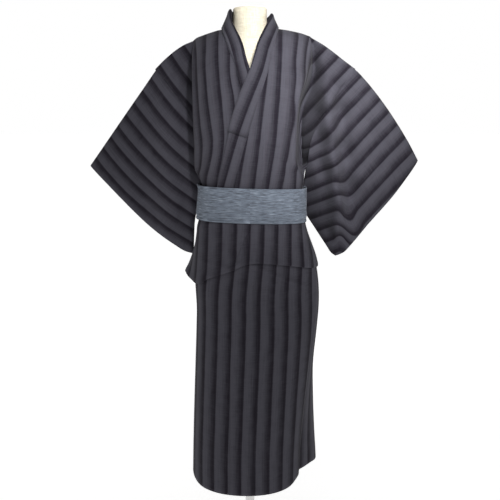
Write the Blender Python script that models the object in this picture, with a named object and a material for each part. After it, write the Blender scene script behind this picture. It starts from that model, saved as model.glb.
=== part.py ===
"""Striped cotton yukata robe with its flat sash, on a limbless dress form.

Metres, +Z up, the front faces -Y, and the floor is at Z = 0.
Heights in the tables are measured from a level STAND_LIFT above the floor.
"""
import math
from bisect import bisect_right

import bmesh
import bpy
from mathutils import Vector

# Driving sizes of the cloth
CLOTH = 0.0012
COLLAR_CLOTH = 0.0025
SASH_CLOTH = 0.0030
SEAM_GAP = 0.0005
STAND_LIFT = 0.100

# Heights along the robe
SLEEVE_LENGTH = 0.460
SASH_TOP = 1.007
SASH_BOTTOM = 0.908
SASH_CLEARANCE = 0.0042
TUCK_TOP = 0.899
RING_TOP = 1.045

# Shape of the rings round the body
ROUNDNESS = 2.6
RING_STEPS = 144
TUCK_LAYER = 0.0030
TUCK_START = 0.004

# Seam of the skirt to the upper body, in the tuck under the sash
WAIST_SEAM = 0.960
WAIST_OUT = 0.0024

# Columns of a body panel: chest, then the turn at the side, then the shoulder wing
CHEST_COLUMNS = 6
PANEL_COLUMNS = 12
COLUMN_SHARES = (0.0, 0.12, 0.24, 0.36, 0.48, 0.59, 0.69, 0.77, 0.84, 0.89, 0.93, 0.965, 1.0)

# Rows of the skirt and of the fold under the sash, as shares of their height
SKIRT_SHARES = (0, 0.12, 0.28, 0.45, 0.62, 0.78, 0.91)
FOLD_DOWN_SHARES = (0.05, 0.40, 0.75, 0.96)
FOLD_UP_SHARES = (0.96, 0.70, 0.36, 0.02)

# Rows above the sash, as drops below the shoulder line
FRONT_DROPS = (0.38, 0.32, 0.26, 0.20, 0.14, 0.09, 0.05, 0.02, 0.0)
BACK_DROPS = (0.06, 0.10, 0.16, 0.23, 0.30, 0.38)

# Drop below which the cloth beside the chest leaves the shoulder line
SHOULDER_FALL = 0.05

# Rows of an overlap panel above the sash, up to its point
OKUMI_LEVELS = (1.095, 1.155, 1.215, 1.275, 1.320)
OKUMI_COLUMNS = 8
OKUMI_SASH_LEVEL = 0.99

# Rings of a sleeve from seam to cuff, and the drops of the points in each
SLEEVE_SHARES = (0.004, 0.10, 0.22, 0.35, 0.48, 0.61, 0.74, 0.87, 1.0)
LEFT_INNER_SHARES = (0.004, 0.10, 0.22, 0.35, 0.474)
LEFT_END_SHARES = (0.486, 0.61, 0.74, 0.87, 1.0)
SLEEVE_DROPS = (0.0, 0.006, 0.025, 0.07, 0.13, 0.19, 0.25, 0.31, 0.37, 0.42, 0.452)

# Half sizes of the cloth's rings, one row for each level
RINGS = [
    dict(z=0.08, left=0.177, right=0.157, front=0.146, back=0.130),
    dict(z=0.25, left=0.174, right=0.165, front=0.143, back=0.128),
    dict(z=0.45, left=0.169, right=0.184, front=0.138, back=0.126),
    dict(z=0.65, left=0.162, right=0.200, front=0.131, back=0.124),
    dict(z=0.78, left=0.158, right=0.192, front=0.122, back=0.120),
    dict(z=0.90, left=0.145, right=0.163, front=0.108, back=0.106),
    dict(z=0.98, left=0.144, right=0.160, front=0.106, back=0.102),
    dict(z=1.03, left=0.155, right=0.160, front=0.108, back=0.102),
    dict(z=1.12, left=0.159, right=0.157, front=0.114, back=0.106),
    dict(z=1.25, left=0.166, right=0.172, front=0.116, back=0.106),
    dict(z=1.50, left=0.168, right=0.178, front=0.114, back=0.100),
]

# Gap between the inner and the outer front, by level
LAYERS = [
    dict(z=0.08, apart=0.0055),
    dict(z=0.62, apart=0.0060),
    dict(z=0.72, apart=0.0116),
    dict(z=0.94, apart=0.0116),
    dict(z=1.00, apart=0.0080),
    dict(z=1.50, apart=0.0070),
]

# Seams round the lower body, as distances round the ring from the front's middle
SEAMS = [
    dict(z=0.08, side_left=-0.262, side_right=0.188, tip_left=-0.062, tip_right=0.015),
    dict(z=0.45, side_left=-0.260, side_right=0.205, tip_left=-0.060, tip_right=0.015),
    dict(z=0.78, side_left=-0.250, side_right=0.225, tip_left=-0.050, tip_right=0.010),
    dict(z=0.92, side_left=-0.238, side_right=0.235, tip_left=0.010, tip_right=-0.020),
    dict(z=1.02, side_left=-0.235, side_right=0.236, tip_left=0.036, tip_right=-0.040),
    dict(z=1.10, side_left=-0.235, side_right=0.236, tip_left=0.040, tip_right=-0.041),
]

# Front edges of the two overlap panels below the sash
FREE_EDGES = [
    dict(z=0.08, outer=-0.236, inner=0.168),
    dict(z=0.70, outer=-0.238, inner=0.180),
    dict(z=0.90, outer=-0.215, inner=0.178),
    dict(z=0.925, outer=-0.140, inner=0.150),
    dict(z=0.960, outer=-0.080, inner=0.080),
    dict(z=0.985, outer=-0.052, inner=0.052),
]

# Hem and lower edge of the waist fold, round the body
HEM = [
    dict(s=-0.53, z=0.125),
    dict(s=-0.30, z=0.122),
    dict(s=-0.22, z=0.108),
    dict(s=-0.14, z=0.088),
    dict(s=0.00, z=0.078),
    dict(s=0.12, z=0.090),
    dict(s=0.18, z=0.112),
    dict(s=0.30, z=0.128),
    dict(s=0.53, z=0.125),
]
TUCK_EDGE = [
    dict(s=-0.53, z=0.770),
    dict(s=-0.30, z=0.765),
    dict(s=-0.235, z=0.750),
    dict(s=-0.19, z=0.736),
    dict(s=-0.15, z=0.742),
    dict(s=-0.11, z=0.765),
    dict(s=-0.04, z=0.785),
    dict(s=0.00, z=0.796),
    dict(s=0.10, z=0.788),
    dict(s=0.22, z=0.770),
    dict(s=0.53, z=0.770),
]

# Long folds of the skirt: where, how wide, how far out, from which level to which
SKIRT_FOLDS = [
    dict(name="right_flare", s=0.285, wide=0.050, out=0.058, low=0.05, high=0.56),
    dict(name="right_crease", s=0.205, wide=0.014, out=-0.010, low=0.05, high=0.50),
    dict(name="back_right", s=0.400, wide=0.040, out=0.012, low=0.05, high=0.66),
    dict(name="back_left", s=-0.400, wide=0.040, out=0.010, low=0.05, high=0.66),
    dict(name="left_side", s=-0.300, wide=0.030, out=0.008, low=0.05, high=0.60),
]

# Inner edge of each body panel above the sash: panel seam, then collar seam
CHEST_EDGE = [
    dict(z=1.00, left=0.035, right=-0.039),
    dict(z=1.20, left=0.044, right=-0.041),
    dict(z=1.353, left=0.0535, right=-0.0385),
    dict(z=1.40, left=0.0655, right=-0.0600),
    dict(z=1.44, left=0.0765, right=-0.0745),
    dict(z=1.475, left=0.0840, right=-0.0840),
]

# Top line of the shoulders from the neck out, for the left and right of the view
SHOULDERS = [
    dict(x=-0.290, z=1.355),
    dict(x=-0.244, z=1.404),
    dict(x=-0.214, z=1.427),
    dict(x=-0.190, z=1.439),
    dict(x=-0.154, z=1.452),
    dict(x=-0.130, z=1.461),
    dict(x=-0.084, z=1.474),
    dict(x=0.000, z=1.480),
    dict(x=0.084, z=1.476),
    dict(x=0.157, z=1.462),
    dict(x=0.181, z=1.451),
    dict(x=0.205, z=1.439),
    dict(x=0.241, z=1.416),
    dict(x=0.271, z=1.393),
    dict(x=0.320, z=1.350),
]
SHOULDER_ROUND = 0.095

# Where the chest turns in at each side: by drop below the shoulder
SIDE_TURN_LEFT = [
    dict(drop=0.00, edge=-0.156, knee=-0.163, knee_y=0.004, hollow=-0.170, hollow_y=0.006),
    dict(drop=0.04, edge=-0.154, knee=-0.167, knee_y=-0.024, hollow=-0.158, hollow_y=0.012),
    dict(drop=0.12, edge=-0.154, knee=-0.168, knee_y=-0.034, hollow=-0.153, hollow_y=0.012),
    dict(drop=0.22, edge=-0.150, knee=-0.164, knee_y=-0.030, hollow=-0.157, hollow_y=0.012),
    dict(drop=0.38, edge=-0.147, knee=-0.159, knee_y=-0.022, hollow=-0.161, hollow_y=0.010),
]
SIDE_TURN_RIGHT = [
    dict(drop=0.00, edge=0.168, knee=0.178, knee_y=-0.002, hollow=0.186, hollow_y=-0.002),
    dict(drop=0.04, edge=0.168, knee=0.180, knee_y=-0.030, hollow=0.190, hollow_y=0.002),
    dict(drop=0.12, edge=0.165, knee=0.178, knee_y=-0.026, hollow=0.190, hollow_y=0.006),
    dict(drop=0.22, edge=0.152, knee=0.164, knee_y=-0.024, hollow=0.176, hollow_y=0.006),
    dict(drop=0.38, edge=0.145, knee=0.157, knee_y=-0.020, hollow=0.166, hollow_y=0.002),
]

# Seam line of each sleeve and its outer edge with the cuff, by drop from the top fold
SEAM_LEFT = [
    dict(drop=0.00, x=-0.283, y=0.012, z=1.360, half=0.013),
    dict(drop=0.10, x=-0.222, y=0.038, z=1.283, half=0.015),
    dict(drop=0.20, x=-0.182, y=0.044, z=1.207, half=0.016),
    dict(drop=0.30, x=-0.173, y=0.042, z=1.135, half=0.015),
    dict(drop=0.38, x=-0.172, y=0.038, z=1.073, half=0.012),
    dict(drop=0.46, x=-0.182, y=0.036, z=0.985, half=0.005),
]
CUFF_LEFT = [
    dict(drop=0.00, x=-0.493, y=0.030, z=1.072, half=0.012),
    dict(drop=0.14, x=-0.392, y=0.034, z=0.963, half=0.014),
    dict(drop=0.25, x=-0.322, y=0.038, z=0.890, half=0.006),
    dict(drop=0.34, x=-0.258, y=0.042, z=0.838, half=0.0022),
    dict(drop=0.46, x=-0.186, y=0.046, z=0.796, half=0.0022),
]
SEAM_RIGHT = [
    dict(drop=0.00, x=0.313, y=0.000, z=1.360, half=0.019),
    dict(drop=0.10, x=0.260, y=0.000, z=1.286, half=0.025),
    dict(drop=0.20, x=0.218, y=0.002, z=1.215, half=0.027),
    dict(drop=0.30, x=0.195, y=0.006, z=1.150, half=0.022),
    dict(drop=0.38, x=0.184, y=0.012, z=1.096, half=0.015),
    dict(drop=0.46, x=0.176, y=0.072, z=0.945, half=0.005),
]
CUFF_RIGHT = [
    dict(drop=0.00, x=0.510, y=0.004, z=1.090, half=0.020),
    dict(drop=0.12, x=0.440, y=0.002, z=0.990, half=0.022),
    dict(drop=0.25, x=0.358, y=0.002, z=0.896, half=0.010),
    dict(drop=0.36, x=0.298, y=0.004, z=0.830, half=0.0022),
    dict(drop=0.46, x=0.260, y=0.010, z=0.797, half=0.0022),
]

# Large folds across the arms: a line in the front view, how wide, how far out
ARM_FOLDS = [
    dict(name="right_ridge", top=(0.200, 1.440), middle=(0.236, 1.256), low=(0.277, 0.900),
         wide=0.030, out=0.038),
    dict(name="right_valley", top=(0.300, 1.300), middle=(0.298, 1.150), low=(0.320, 0.930),
         wide=0.020, out=-0.012),
    dict(name="left_ridge", top=(-0.225, 1.330), middle=(-0.250, 1.120), low=(-0.250, 0.880),
         wide=0.034, out=0.012),
    dict(name="left_valley", top=(-0.300, 1.290), middle=(-0.330, 1.100), low=(-0.320, 0.930),
         wide=0.024, out=-0.008),
]
ARM_FOLD_START = 0.196
BACK_FOLD_SHARE = 0.5

# Collar stations from the sash up to the shoulder, seam edge and free edge in the front view
COLLAR_OUTER = [
    dict(seam_x=-0.0480, seam_z=1.000, free_x=-0.1000, free_z=1.000),
    dict(seam_x=-0.0300, seam_z=1.080, free_x=-0.0800, free_z=1.092),
    dict(seam_x=-0.0070, seam_z=1.165, free_x=-0.0590, free_z=1.185),
    dict(seam_x=0.0230, seam_z=1.260, free_x=-0.0310, free_z=1.277),
    dict(seam_x=0.0530, seam_z=1.353, free_x=0.0015, free_z=1.360),
]
COLLAR_INNER = [
    dict(seam_x=0.0480, seam_z=1.000, free_x=0.1000, free_z=1.000),
    dict(seam_x=0.0340, seam_z=1.080, free_x=0.0860, free_z=1.092),
    dict(seam_x=0.0150, seam_z=1.165, free_x=0.0670, free_z=1.185),
    dict(seam_x=-0.0140, seam_z=1.260, free_x=0.0340, free_z=1.277),
    dict(seam_x=-0.0390, seam_z=1.353, free_x=-0.0010, free_z=1.360),
]

# Neckline of the back, by drop below the shoulder
BACK_NECK = [
    dict(drop=0.000, x=0.0860),
    dict(drop=0.004, x=0.0845),
    dict(drop=0.009, x=0.0790),
    dict(drop=0.016, x=0.0680),
    dict(drop=0.024, x=0.0550),
    dict(drop=0.031, x=0.0340),
    dict(drop=0.037, x=0.0005),
]
NECK_SETBACK = 0.0022

# Collar stations round the neck for one side: drop of the seam edge, and the free edge
COLLAR_NECK = [
    dict(face=-1, drop=0.074, free=(0.0250, -0.092, 1.430)),
    dict(face=-1, drop=0.026, free=(0.0500, -0.054, 1.484)),
    dict(face=-1, drop=0.000, free=(0.0615, -0.018, 1.514)),
    dict(face=1, drop=0.009, free=(0.0620, 0.026, 1.518)),
    dict(face=1, drop=0.024, free=(0.0430, 0.054, 1.506)),
]
COLLAR_BACK = dict(face=1, drop=0.037, free=(0.0, 0.066, 1.498))
COLLAR_FRONT_END = 4.5
COLLAR_FRONT_ROWS = 7
COLLAR_NECK_ROWS = 14
COVER_FIRST_ROW = 3
COVER_GAP = 0.0009

# Rings of the dress form from its lower end to its neck
FORM_RINGS = [
    dict(z=0.640, wide=0.060, deep=0.045, y=0.000),
    dict(z=0.645, wide=0.100, deep=0.075, y=0.000),
    dict(z=0.680, wide=0.128, deep=0.090, y=0.000),
    dict(z=0.760, wide=0.133, deep=0.094, y=0.000),
    dict(z=0.860, wide=0.120, deep=0.084, y=0.000),
    dict(z=0.970, wide=0.112, deep=0.080, y=0.000),
    dict(z=1.080, wide=0.120, deep=0.084, y=0.000),
    dict(z=1.200, wide=0.128, deep=0.086, y=0.002),
    dict(z=1.320, wide=0.134, deep=0.082, y=0.002),
    dict(z=1.390, wide=0.130, deep=0.068, y=0.002),
    dict(z=1.425, wide=0.104, deep=0.055, y=0.002),
    dict(z=1.445, wide=0.070, deep=0.048, y=0.004),
    dict(z=1.465, wide=0.054, deep=0.046, y=0.004),
    dict(z=1.500, wide=0.050, deep=0.045, y=0.004),
    dict(z=1.533, wide=0.050, deep=0.045, y=0.004),
    dict(z=1.537, wide=0.046, deep=0.041, y=0.004),
]
FORM_SIDES = 32

POLE_RADIUS = 0.014
POLE_SOCKET = 0.0010
BASE_RADIUS = 0.160
BASE_HEIGHT = 0.012
BASE_BEVEL = 0.002

# Flat knot at the back of the sash
KNOT_HALF_WIDTH = 0.075
KNOT_HALF_HEIGHT = 0.062
KNOT_DEPTH = 0.016
KNOT_TILT = 0.006
KNOT_GAP = 0.0050


def clear_scene():
    for item in list(bpy.data.objects):
        bpy.data.objects.remove(item, do_unlink=True)


def make_material(name, color, roughness, metallic=0.0):
    material = bpy.data.materials.new(name)
    material.use_nodes = True
    shader = material.node_tree.nodes["Principled BSDF"]
    shader.inputs["Base Color"].default_value = (*color, 1.0)
    shader.inputs["Roughness"].default_value = roughness
    shader.inputs["Metallic"].default_value = metallic
    return material


def read(table, at, column):
    """Smooth value of one column where the table's first column has the value at."""
    key = next(iter(table[0]))
    last = len(table) - 1
    if at <= table[0][key]:
        return table[0][column]
    if at >= table[last][key]:
        return table[last][column]
    low = max(i for i in range(last) if table[i][key] <= at)
    span = table[low + 1][key] - table[low][key]
    part = (at - table[low][key]) / span
    rise = table[low + 1][column] - table[low][column]
    start = rise
    end = rise
    if low > 0:
        before = table[low - 1]
        start = span * (table[low + 1][column] - before[column]) / (table[low + 1][key] - before[key])
    if low + 1 < last:
        after = table[low + 2]
        end = span * (after[column] - table[low][column]) / (after[key] - table[low][key])
    square = part * part
    cube = square * part
    value = table[low][column] * (2 * cube - 3 * square + 1) + start * (cube - 2 * square + part)
    return value + table[low + 1][column] * (3 * square - 2 * cube) + end * (cube - square)


def ease(value):
    """Soft step from 0 to 1."""
    value = min(1.0, max(0.0, value))
    return value * value * (3 - 2 * value)


# Rings round the body

def fold_out(z, distance, total):
    """How far the skirt's folds push the ring out at this place."""
    push = 0.0
    for fold in SKIRT_FOLDS:
        if z >= fold["high"]:
            continue
        gap = abs(distance - fold["s"] % total)
        gap = min(gap, total - gap)
        strength = ease((fold["high"] - z) / (fold["high"] - fold["low"]))
        push += fold["out"] * strength * math.exp(-((gap / fold["wide"]) ** 2))
    return push


ring_store = {}


def ring_line(z):
    """Points round the ring at a level, their outward directions and distances."""
    level = round(z, 4)
    if level in ring_store:
        return ring_store[level]
    plain = []
    for i in range(RING_STEPS + 1):
        angle = 2 * math.pi * i / RING_STEPS
        across = math.sin(angle)
        along = math.cos(angle)
        half_x = read(RINGS, level, "right" if across > 0 else "left")
        half_y = read(RINGS, level, "front" if along > 0 else "back")
        x = half_x * math.copysign(abs(across) ** (2 / ROUNDNESS), across)
        y = -half_y * math.copysign(abs(along) ** (2 / ROUNDNESS), along)
        plain.append(Vector((x, y)))
    pushed = push_ring(plain, level)
    distances = [0.0]
    for i in range(RING_STEPS):
        distances.append(distances[-1] + (pushed[i + 1] - pushed[i]).length)
    ring_store[level] = (pushed, ring_normals(pushed), distances)
    return ring_store[level]


def ring_normals(points):
    normals = []
    for i in range(RING_STEPS + 1):
        ahead = points[(i + 1) % RING_STEPS]
        behind = points[(i - 1) % RING_STEPS]
        tangent = ahead - behind
        normals.append(Vector((tangent.y, -tangent.x)).normalized())
    return normals


def push_ring(points, level):
    normals = ring_normals(points)
    walked = [0.0]
    for i in range(RING_STEPS):
        walked.append(walked[-1] + (points[i + 1] - points[i]).length)
    total = walked[-1]
    return [points[i] + normals[i] * fold_out(level, walked[i] % total, total)
            for i in range(RING_STEPS + 1)]


def ring_at(z, distance, out=0.0):
    """Point on the ring at a level, a distance from the front's middle, moved out."""
    points, normals, distances = ring_line(z)
    distance = distance % distances[-1]
    i = min(bisect_right(distances, distance) - 1, RING_STEPS - 1)
    part = (distance - distances[i]) / (distances[i + 1] - distances[i])
    flat = points[i].lerp(points[i + 1], part)
    flat += normals[i].lerp(normals[i + 1], part).normalized() * out
    return Vector((flat.x, flat.y, z))


def ring_length(z):
    return ring_line(z)[2][-1]


def signed(z, distance):
    """The same place counted from the front's middle, negative on the view's left."""
    total = ring_length(z)
    distance = distance % total
    return distance - total if distance > total / 2 else distance


def layer_out(side, z, place):
    """How far a front lies from the ring: outer front over inner front."""
    slope = ease((place + 0.20) / 0.36)
    apart = read(LAYERS, z, "apart")
    return apart * (1 - slope) if side > 0 else -apart * slope


# Rows of the lower body: skirt, waist fold and the stretch under the sash

def lower_rows():
    """Each row as share of the skirt or the fold, and its distance out."""
    rows = [dict(part="skirt", share=share, out=0.0) for share in SKIRT_SHARES]
    rows.append(dict(part="level", share=TUCK_TOP - TUCK_START, out=0.0))
    rows.append(dict(part="level", share=TUCK_TOP, out=TUCK_LAYER * 0.5))
    for share in FOLD_DOWN_SHARES:
        rows.append(dict(part="fold", share=share, out=TUCK_LAYER))
    rows.append(dict(part="fold", share=1.0, out=TUCK_LAYER * 1.5))
    for share in FOLD_UP_SHARES:
        rows.append(dict(part="fold", share=share, out=TUCK_LAYER * 2))
    rows.append(dict(part="level", share=0.925, out=TUCK_LAYER * 1.7))
    rows.append(dict(part="level", share=WAIST_SEAM - SEAM_GAP, out=WAIST_OUT))
    rows.append(dict(part="level", share=0.995, out=0.0))
    rows.append(dict(part="level", share=RING_TOP, out=0.0))
    return rows


def row_level(row, place):
    if row["part"] == "skirt":
        hem = read(HEM, place, "z")
        return hem + row["share"] * (TUCK_TOP - TUCK_START - hem)
    if row["part"] == "fold":
        edge = read(TUCK_EDGE, place, "z")
        return TUCK_TOP - row["share"] * (TUCK_TOP - edge)
    return row["share"]


def corner_flare(row, place):
    """The fold's front corner stands out at the view's left."""
    if row["part"] != "fold":
        return 0.0
    return 0.020 * row["share"] ** 2 * math.exp(-(((place + 0.235) / 0.035) ** 2))


def lower_point(side, row, place, layered):
    """Point of a lower row; layered is true on the fronts."""
    level = row_level(row, place)
    out = row["out"]
    if layered:
        out += layer_out(side, level, place)
        if side > 0:
            out += corner_flare(row, place)
    return ring_at(level, place, out)


def nominal_level(row):
    return row_level(row, 0.0)


# Shoulders and chest

def chest_point(side, face, x, drop):
    """Point of the chest or back, a drop below the shoulder line at x."""
    level = read(SHOULDERS, x, "z") - drop
    half_x = read(RINGS, level, "right" if x > 0 else "left")
    half_y = read(RINGS, level, "front" if face < 0 else "back")
    start = min(drop / SHOULDER_ROUND, 1.0)
    depth = half_y * math.sqrt(1 - (1 - start) ** 2)
    depth *= (1 - min(abs(x) / half_x, 0.999) ** ROUNDNESS) ** (1 / ROUNDNESS)
    if face < 0:
        depth += layer_out(side, level, x) * start
    return Vector((x, face * depth, level))


def arm_push(x, z):
    """How far forward the arm folds bring the cloth at this place of the front view."""
    push = 0.0
    if abs(x) < ARM_FOLD_START:
        return push
    here = Vector((x, z))
    for fold in ARM_FOLDS:
        if fold["top"][0] * x < 0:
            continue
        gap = min(line_gap(here, Vector(fold["top"]), Vector(fold["middle"])),
                  line_gap(here, Vector(fold["middle"]), Vector(fold["low"])))
        push += fold["out"] * math.exp(-((gap / fold["wide"]) ** 2))
    return push * ease((abs(x) - ARM_FOLD_START) / 0.016)


def line_gap(point, start, end):
    line = end - start
    part = (point - start).dot(line) / line.length_squared
    part = min(1.0, max(0.0, part))
    return (point - start - line * part).length


def rounded(drop, length):
    """Share of the half gap between two layers near the top fold and the lower seam."""
    top = min(drop / 0.030, 1.0)
    low = min((length - drop) / 0.012, 1.0)
    return math.sqrt(max(0.0, 1 - (1 - top) ** 2)) * math.sqrt(max(0.0, 1 - (1 - low) ** 2))


def arm_point(side, face, across, drop):
    """Point of a sleeve's front or back layer; across is 0 at the seam and 1 at the cuff."""
    seam = SEAM_RIGHT if side > 0 else SEAM_LEFT
    cuff = CUFF_RIGHT if side > 0 else CUFF_LEFT
    near = Vector([read(seam, drop, key) for key in ("x", "y", "z")])
    far = Vector([read(cuff, drop, key) for key in ("x", "y", "z")])
    half = read(seam, drop, "half") * (1 - across) + read(cuff, drop, "half") * across
    half += 0.010 * math.sin(math.pi * across) * math.sin(math.pi * drop / SLEEVE_LENGTH)
    half *= rounded(drop, SLEEVE_LENGTH)
    point = near.lerp(far, across)
    point.y += face * half - arm_push(point.x, point.z) * (1.0 if face < 0 else BACK_FOLD_SHARE)
    return point


def upper_row(side, face, drop):
    """One row of a body panel from its inner edge to the sleeve seam."""
    turns = SIDE_TURN_RIGHT if side > 0 else SIDE_TURN_LEFT
    edge_x = read(turns, drop, "edge")
    if face < 0:
        level = read(SHOULDERS, side * 0.06, "z") - drop
        inner_x = read(CHEST_EDGE, level, "left" if side > 0 else "right")
    else:
        inner_x = side * read(BACK_NECK, drop, "x")
    row = []
    for column in range(CHEST_COLUMNS + 1):
        x = inner_x + (edge_x - inner_x) * column / CHEST_COLUMNS
        row.append(chest_point(side, face, x, drop))
    seam = arm_point(side, face, 0.0, drop)
    seam.x -= side * SEAM_GAP
    level = read(SHOULDERS, edge_x, "z") - drop
    if face < 0:
        knee = Vector((read(turns, drop, "knee"), read(turns, drop, "knee_y"), level - 0.004))
        hollow = Vector((read(turns, drop, "hollow"), read(turns, drop, "hollow_y"), level - 0.010))
    else:
        knee = row[-1].lerp(seam, 0.16)
        hollow = row[-1].lerp(seam, 0.34)
    row.append(knee)
    row.append(hollow)
    wing = PANEL_COLUMNS - CHEST_COLUMNS - 2
    for column in range(1, wing + 1):
        point = hollow.lerp(seam, column / wing)
        if column < wing:
            share = 1.0 if face < 0 else BACK_FOLD_SHARE
            point.y -= arm_push(point.x, point.z) * share * column / wing
            fall = ease(drop / SHOULDER_FALL)
            raised = (1 - fall) + fall * (1 - column / wing) * 0.5
            point.z += (read(SHOULDERS, point.x, "z") - drop - point.z) * raised
        row.append(point)
    return row


def body_rows(side):
    """Rows of an upper body panel, from the waist seam over the shoulder to the waist seam."""
    waist = [dict(part="level", share=WAIST_SEAM + SEAM_GAP, out=WAIST_OUT)] + lower_rows()[-2:]
    rows = [lower_row(side, row, front=True) for row in waist]
    rows += [upper_row(side, -1, drop) for drop in FRONT_DROPS]
    rows += [upper_row(side, 1, row["drop"]) for row in BACK_NECK[1:]]
    rows += [upper_row(side, 1, drop) for drop in BACK_DROPS]
    rows += [lower_row(side, row, front=False) for row in reversed(waist)]
    return rows


def skirt_rows(side):
    """Rows of one side of the skirt, from the overlap's seam round the side to the back seam."""
    rows = []
    for row in lower_rows()[:-2]:
        front = lower_row(side, row, front=True)
        back = lower_row(side, row, front=False)
        rows.append(front + back[-2::-1])
    return rows


def lower_row(side, row, front):
    level = nominal_level(row)
    side_seam = read(SEAMS, level, "side_right" if side > 0 else "side_left")
    if front:
        inner = read(SEAMS, level, "tip_left" if side > 0 else "tip_right") + side * SEAM_GAP
    else:
        inner = back_seam(level) - side * SEAM_GAP
    if not front and side < 0:
        inner -= ring_length(level)
    places = [inner + (side_seam - inner) * share for share in COLUMN_SHARES]
    points = [lower_point(side, row, signed(level, place), front) for place in places]
    if not front:
        points[-1] = lower_point(side, row, side_seam, True)
    return points


def back_seam(level):
    """The back's middle seam, halfway between the side seams."""
    right = read(SEAMS, level, "side_right")
    left = ring_length(level) + read(SEAMS, level, "side_left")
    return (right + left) / 2


# Cloth pieces

def sheet(name, rows, material, thickness=CLOTH, closed=False):
    """Cloth through a grid of points, given a wall."""
    across = len(rows[0]) - 1
    along = len(rows) - 1
    grid = bmesh.new()
    bmesh.ops.create_grid(grid, x_segments=across, y_segments=along, size=1.0)
    for vertex in grid.verts:
        column = round((vertex.co.x + 1) / 2 * across)
        line = round((vertex.co.y + 1) / 2 * along)
        vertex.co = rows[line][column] + Vector((0, 0, STAND_LIFT))
    if closed:
        bmesh.ops.remove_doubles(grid, verts=grid.verts, dist=0.00005)
    bmesh.ops.triangulate(grid, faces=grid.faces, quad_method="SHORT_EDGE")
    item = add_mesh(name, grid, material)
    wall = item.modifiers.new("Wall", "SOLIDIFY")
    wall.thickness = thickness
    wall.offset = 0.0
    return item


def add_mesh(name, grid, material):
    mesh = bpy.data.meshes.new(name)
    grid.to_mesh(mesh)
    grid.free()
    mesh.shade_smooth()
    item = bpy.data.objects.new(name, mesh)
    item.data.materials.append(material)
    bpy.context.scene.collection.objects.link(item)
    return item


def okumi_rows(side):
    """Overlap panel from the hem up to its point at the collar."""
    rows = []
    columns = OKUMI_COLUMNS
    for row in lower_rows():
        level = nominal_level(row)
        seam = read(SEAMS, level, "tip_left" if side > 0 else "tip_right") - side * SEAM_GAP
        if level < OKUMI_SASH_LEVEL:
            free = read(FREE_EDGES, level, "outer" if side > 0 else "inner")
        else:
            free = collar_seam_x(side, level) + side * SEAM_GAP * 2
        rows.append([lower_point(side, row, seam + (free - seam) * i / columns, True)
                     for i in range(columns + 1)])
    for level in OKUMI_LEVELS:
        seam = read(CHEST_EDGE, level, "left" if side > 0 else "right") - side * SEAM_GAP * 2
        free = collar_seam_x(side, level) + side * SEAM_GAP * 2
        row = []
        for i in range(columns + 1):
            x = seam + (free - seam) * i / columns
            row.append(chest_point(side, -1, x, read(SHOULDERS, x, "z") - level))
        rows.append(row)
    return rows


def collar_seam_x(side, level):
    """The collar's seam edge in the front view at a level."""
    table = COLLAR_OUTER if side > 0 else COLLAR_INNER
    levels = [dict(z=row["seam_z"], x=row["seam_x"]) for row in table]
    return read(levels, level, "x")


def collar_stations():
    """Seam, middle and free points of the collar from the outer front round to the inner."""
    stations = []
    for row in COLLAR_OUTER:
        stations.append(front_station(1, row))
    for row in COLLAR_NECK:
        stations.append(neck_station(row, 1))
    stations.append(neck_station(COLLAR_BACK, 1))
    for row in reversed(COLLAR_NECK):
        stations.append(neck_station(row, -1))
    for row in reversed(COLLAR_INNER):
        stations.append(front_station(-1, row))
    return stations


def front_station(side, row):
    points = []
    for share in (0.0, 0.5, 1.0):
        x = row["seam_x"] + (row["free_x"] - row["seam_x"]) * share
        level = row["seam_z"] + (row["free_z"] - row["seam_z"]) * share
        points.append(chest_point(side, -1, x, read(SHOULDERS, x, "z") - level))
    return points


def neck_station(row, side):
    """Collar station whose seam edge is just inside the body's neckline."""
    if row["face"] < 0:
        level = read(SHOULDERS, side * 0.06, "z") - row["drop"]
        edge = abs(read(CHEST_EDGE, level, "left" if side > 0 else "right"))
    else:
        edge = read(BACK_NECK, row["drop"], "x")
    seam = chest_point(side, row["face"], side * max(edge - NECK_SETBACK, 0.0), row["drop"])
    seam.z += NECK_SETBACK
    free = Vector(row["free"])
    free.x *= side
    return [seam, seam.lerp(free, 0.5), free]


def spline(points, at):
    """Point on a smooth line through the points, at from 0 to 1."""
    last = len(points) - 1
    place = min(max(at, 0.0), 1.0) * last
    i = min(int(place), last - 1)
    part = place - i
    before = points[max(i - 1, 0)]
    after = points[min(i + 2, last)]
    start = (points[i + 1] - before) * 0.5
    end = (after - points[i]) * 0.5
    square = part * part
    cube = square * part
    value = points[i] * (2 * cube - 3 * square + 1) + start * (cube - 2 * square + part)
    return value + points[i + 1] * (3 * square - 2 * cube) + end * (cube - square)


def collar_face(stations, along, across):
    """Point of the collar's middle surface: along its length, across its width."""
    seam, middle, free = [spline([station[i] for station in stations], along) for i in range(3)]
    point = seam * (1 - across) * (1 - 2 * across) + middle * 4 * across * (1 - across)
    return point + free * across * (2 * across - 1)


def collar_point(stations, along, across, lift):
    """Point of the collar lifted off its middle surface."""
    step = 0.008
    start = max(along - step, 0.0)
    end = min(along + step, 1.0)
    length = collar_face(stations, end, across) - collar_face(stations, start, across)
    width = collar_face(stations, along, across + step) - collar_face(stations, along, across - step)
    return collar_face(stations, along, across) - length.cross(width).normalized() * lift


def collar_places():
    """Where the collar's rows lie along it: few on the chest, close together at the neck."""
    stations = 2 * (len(COLLAR_OUTER) + len(COLLAR_NECK))
    back = stations / 2
    places = [COLLAR_FRONT_END * i / COLLAR_FRONT_ROWS for i in range(COLLAR_FRONT_ROWS)]
    step = (back - COLLAR_FRONT_END) / COLLAR_NECK_ROWS
    places += [COLLAR_FRONT_END + step * i for i in range(COLLAR_NECK_ROWS)]
    places += [back] + [stations - place for place in reversed(places)]
    return [place / stations for place in places]


def collar_rows():
    stations = collar_stations()
    return [[collar_face(stations, along, across) for across in (0.0, 0.33, 0.67, 1.0)]
            for along in collar_places()]


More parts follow.
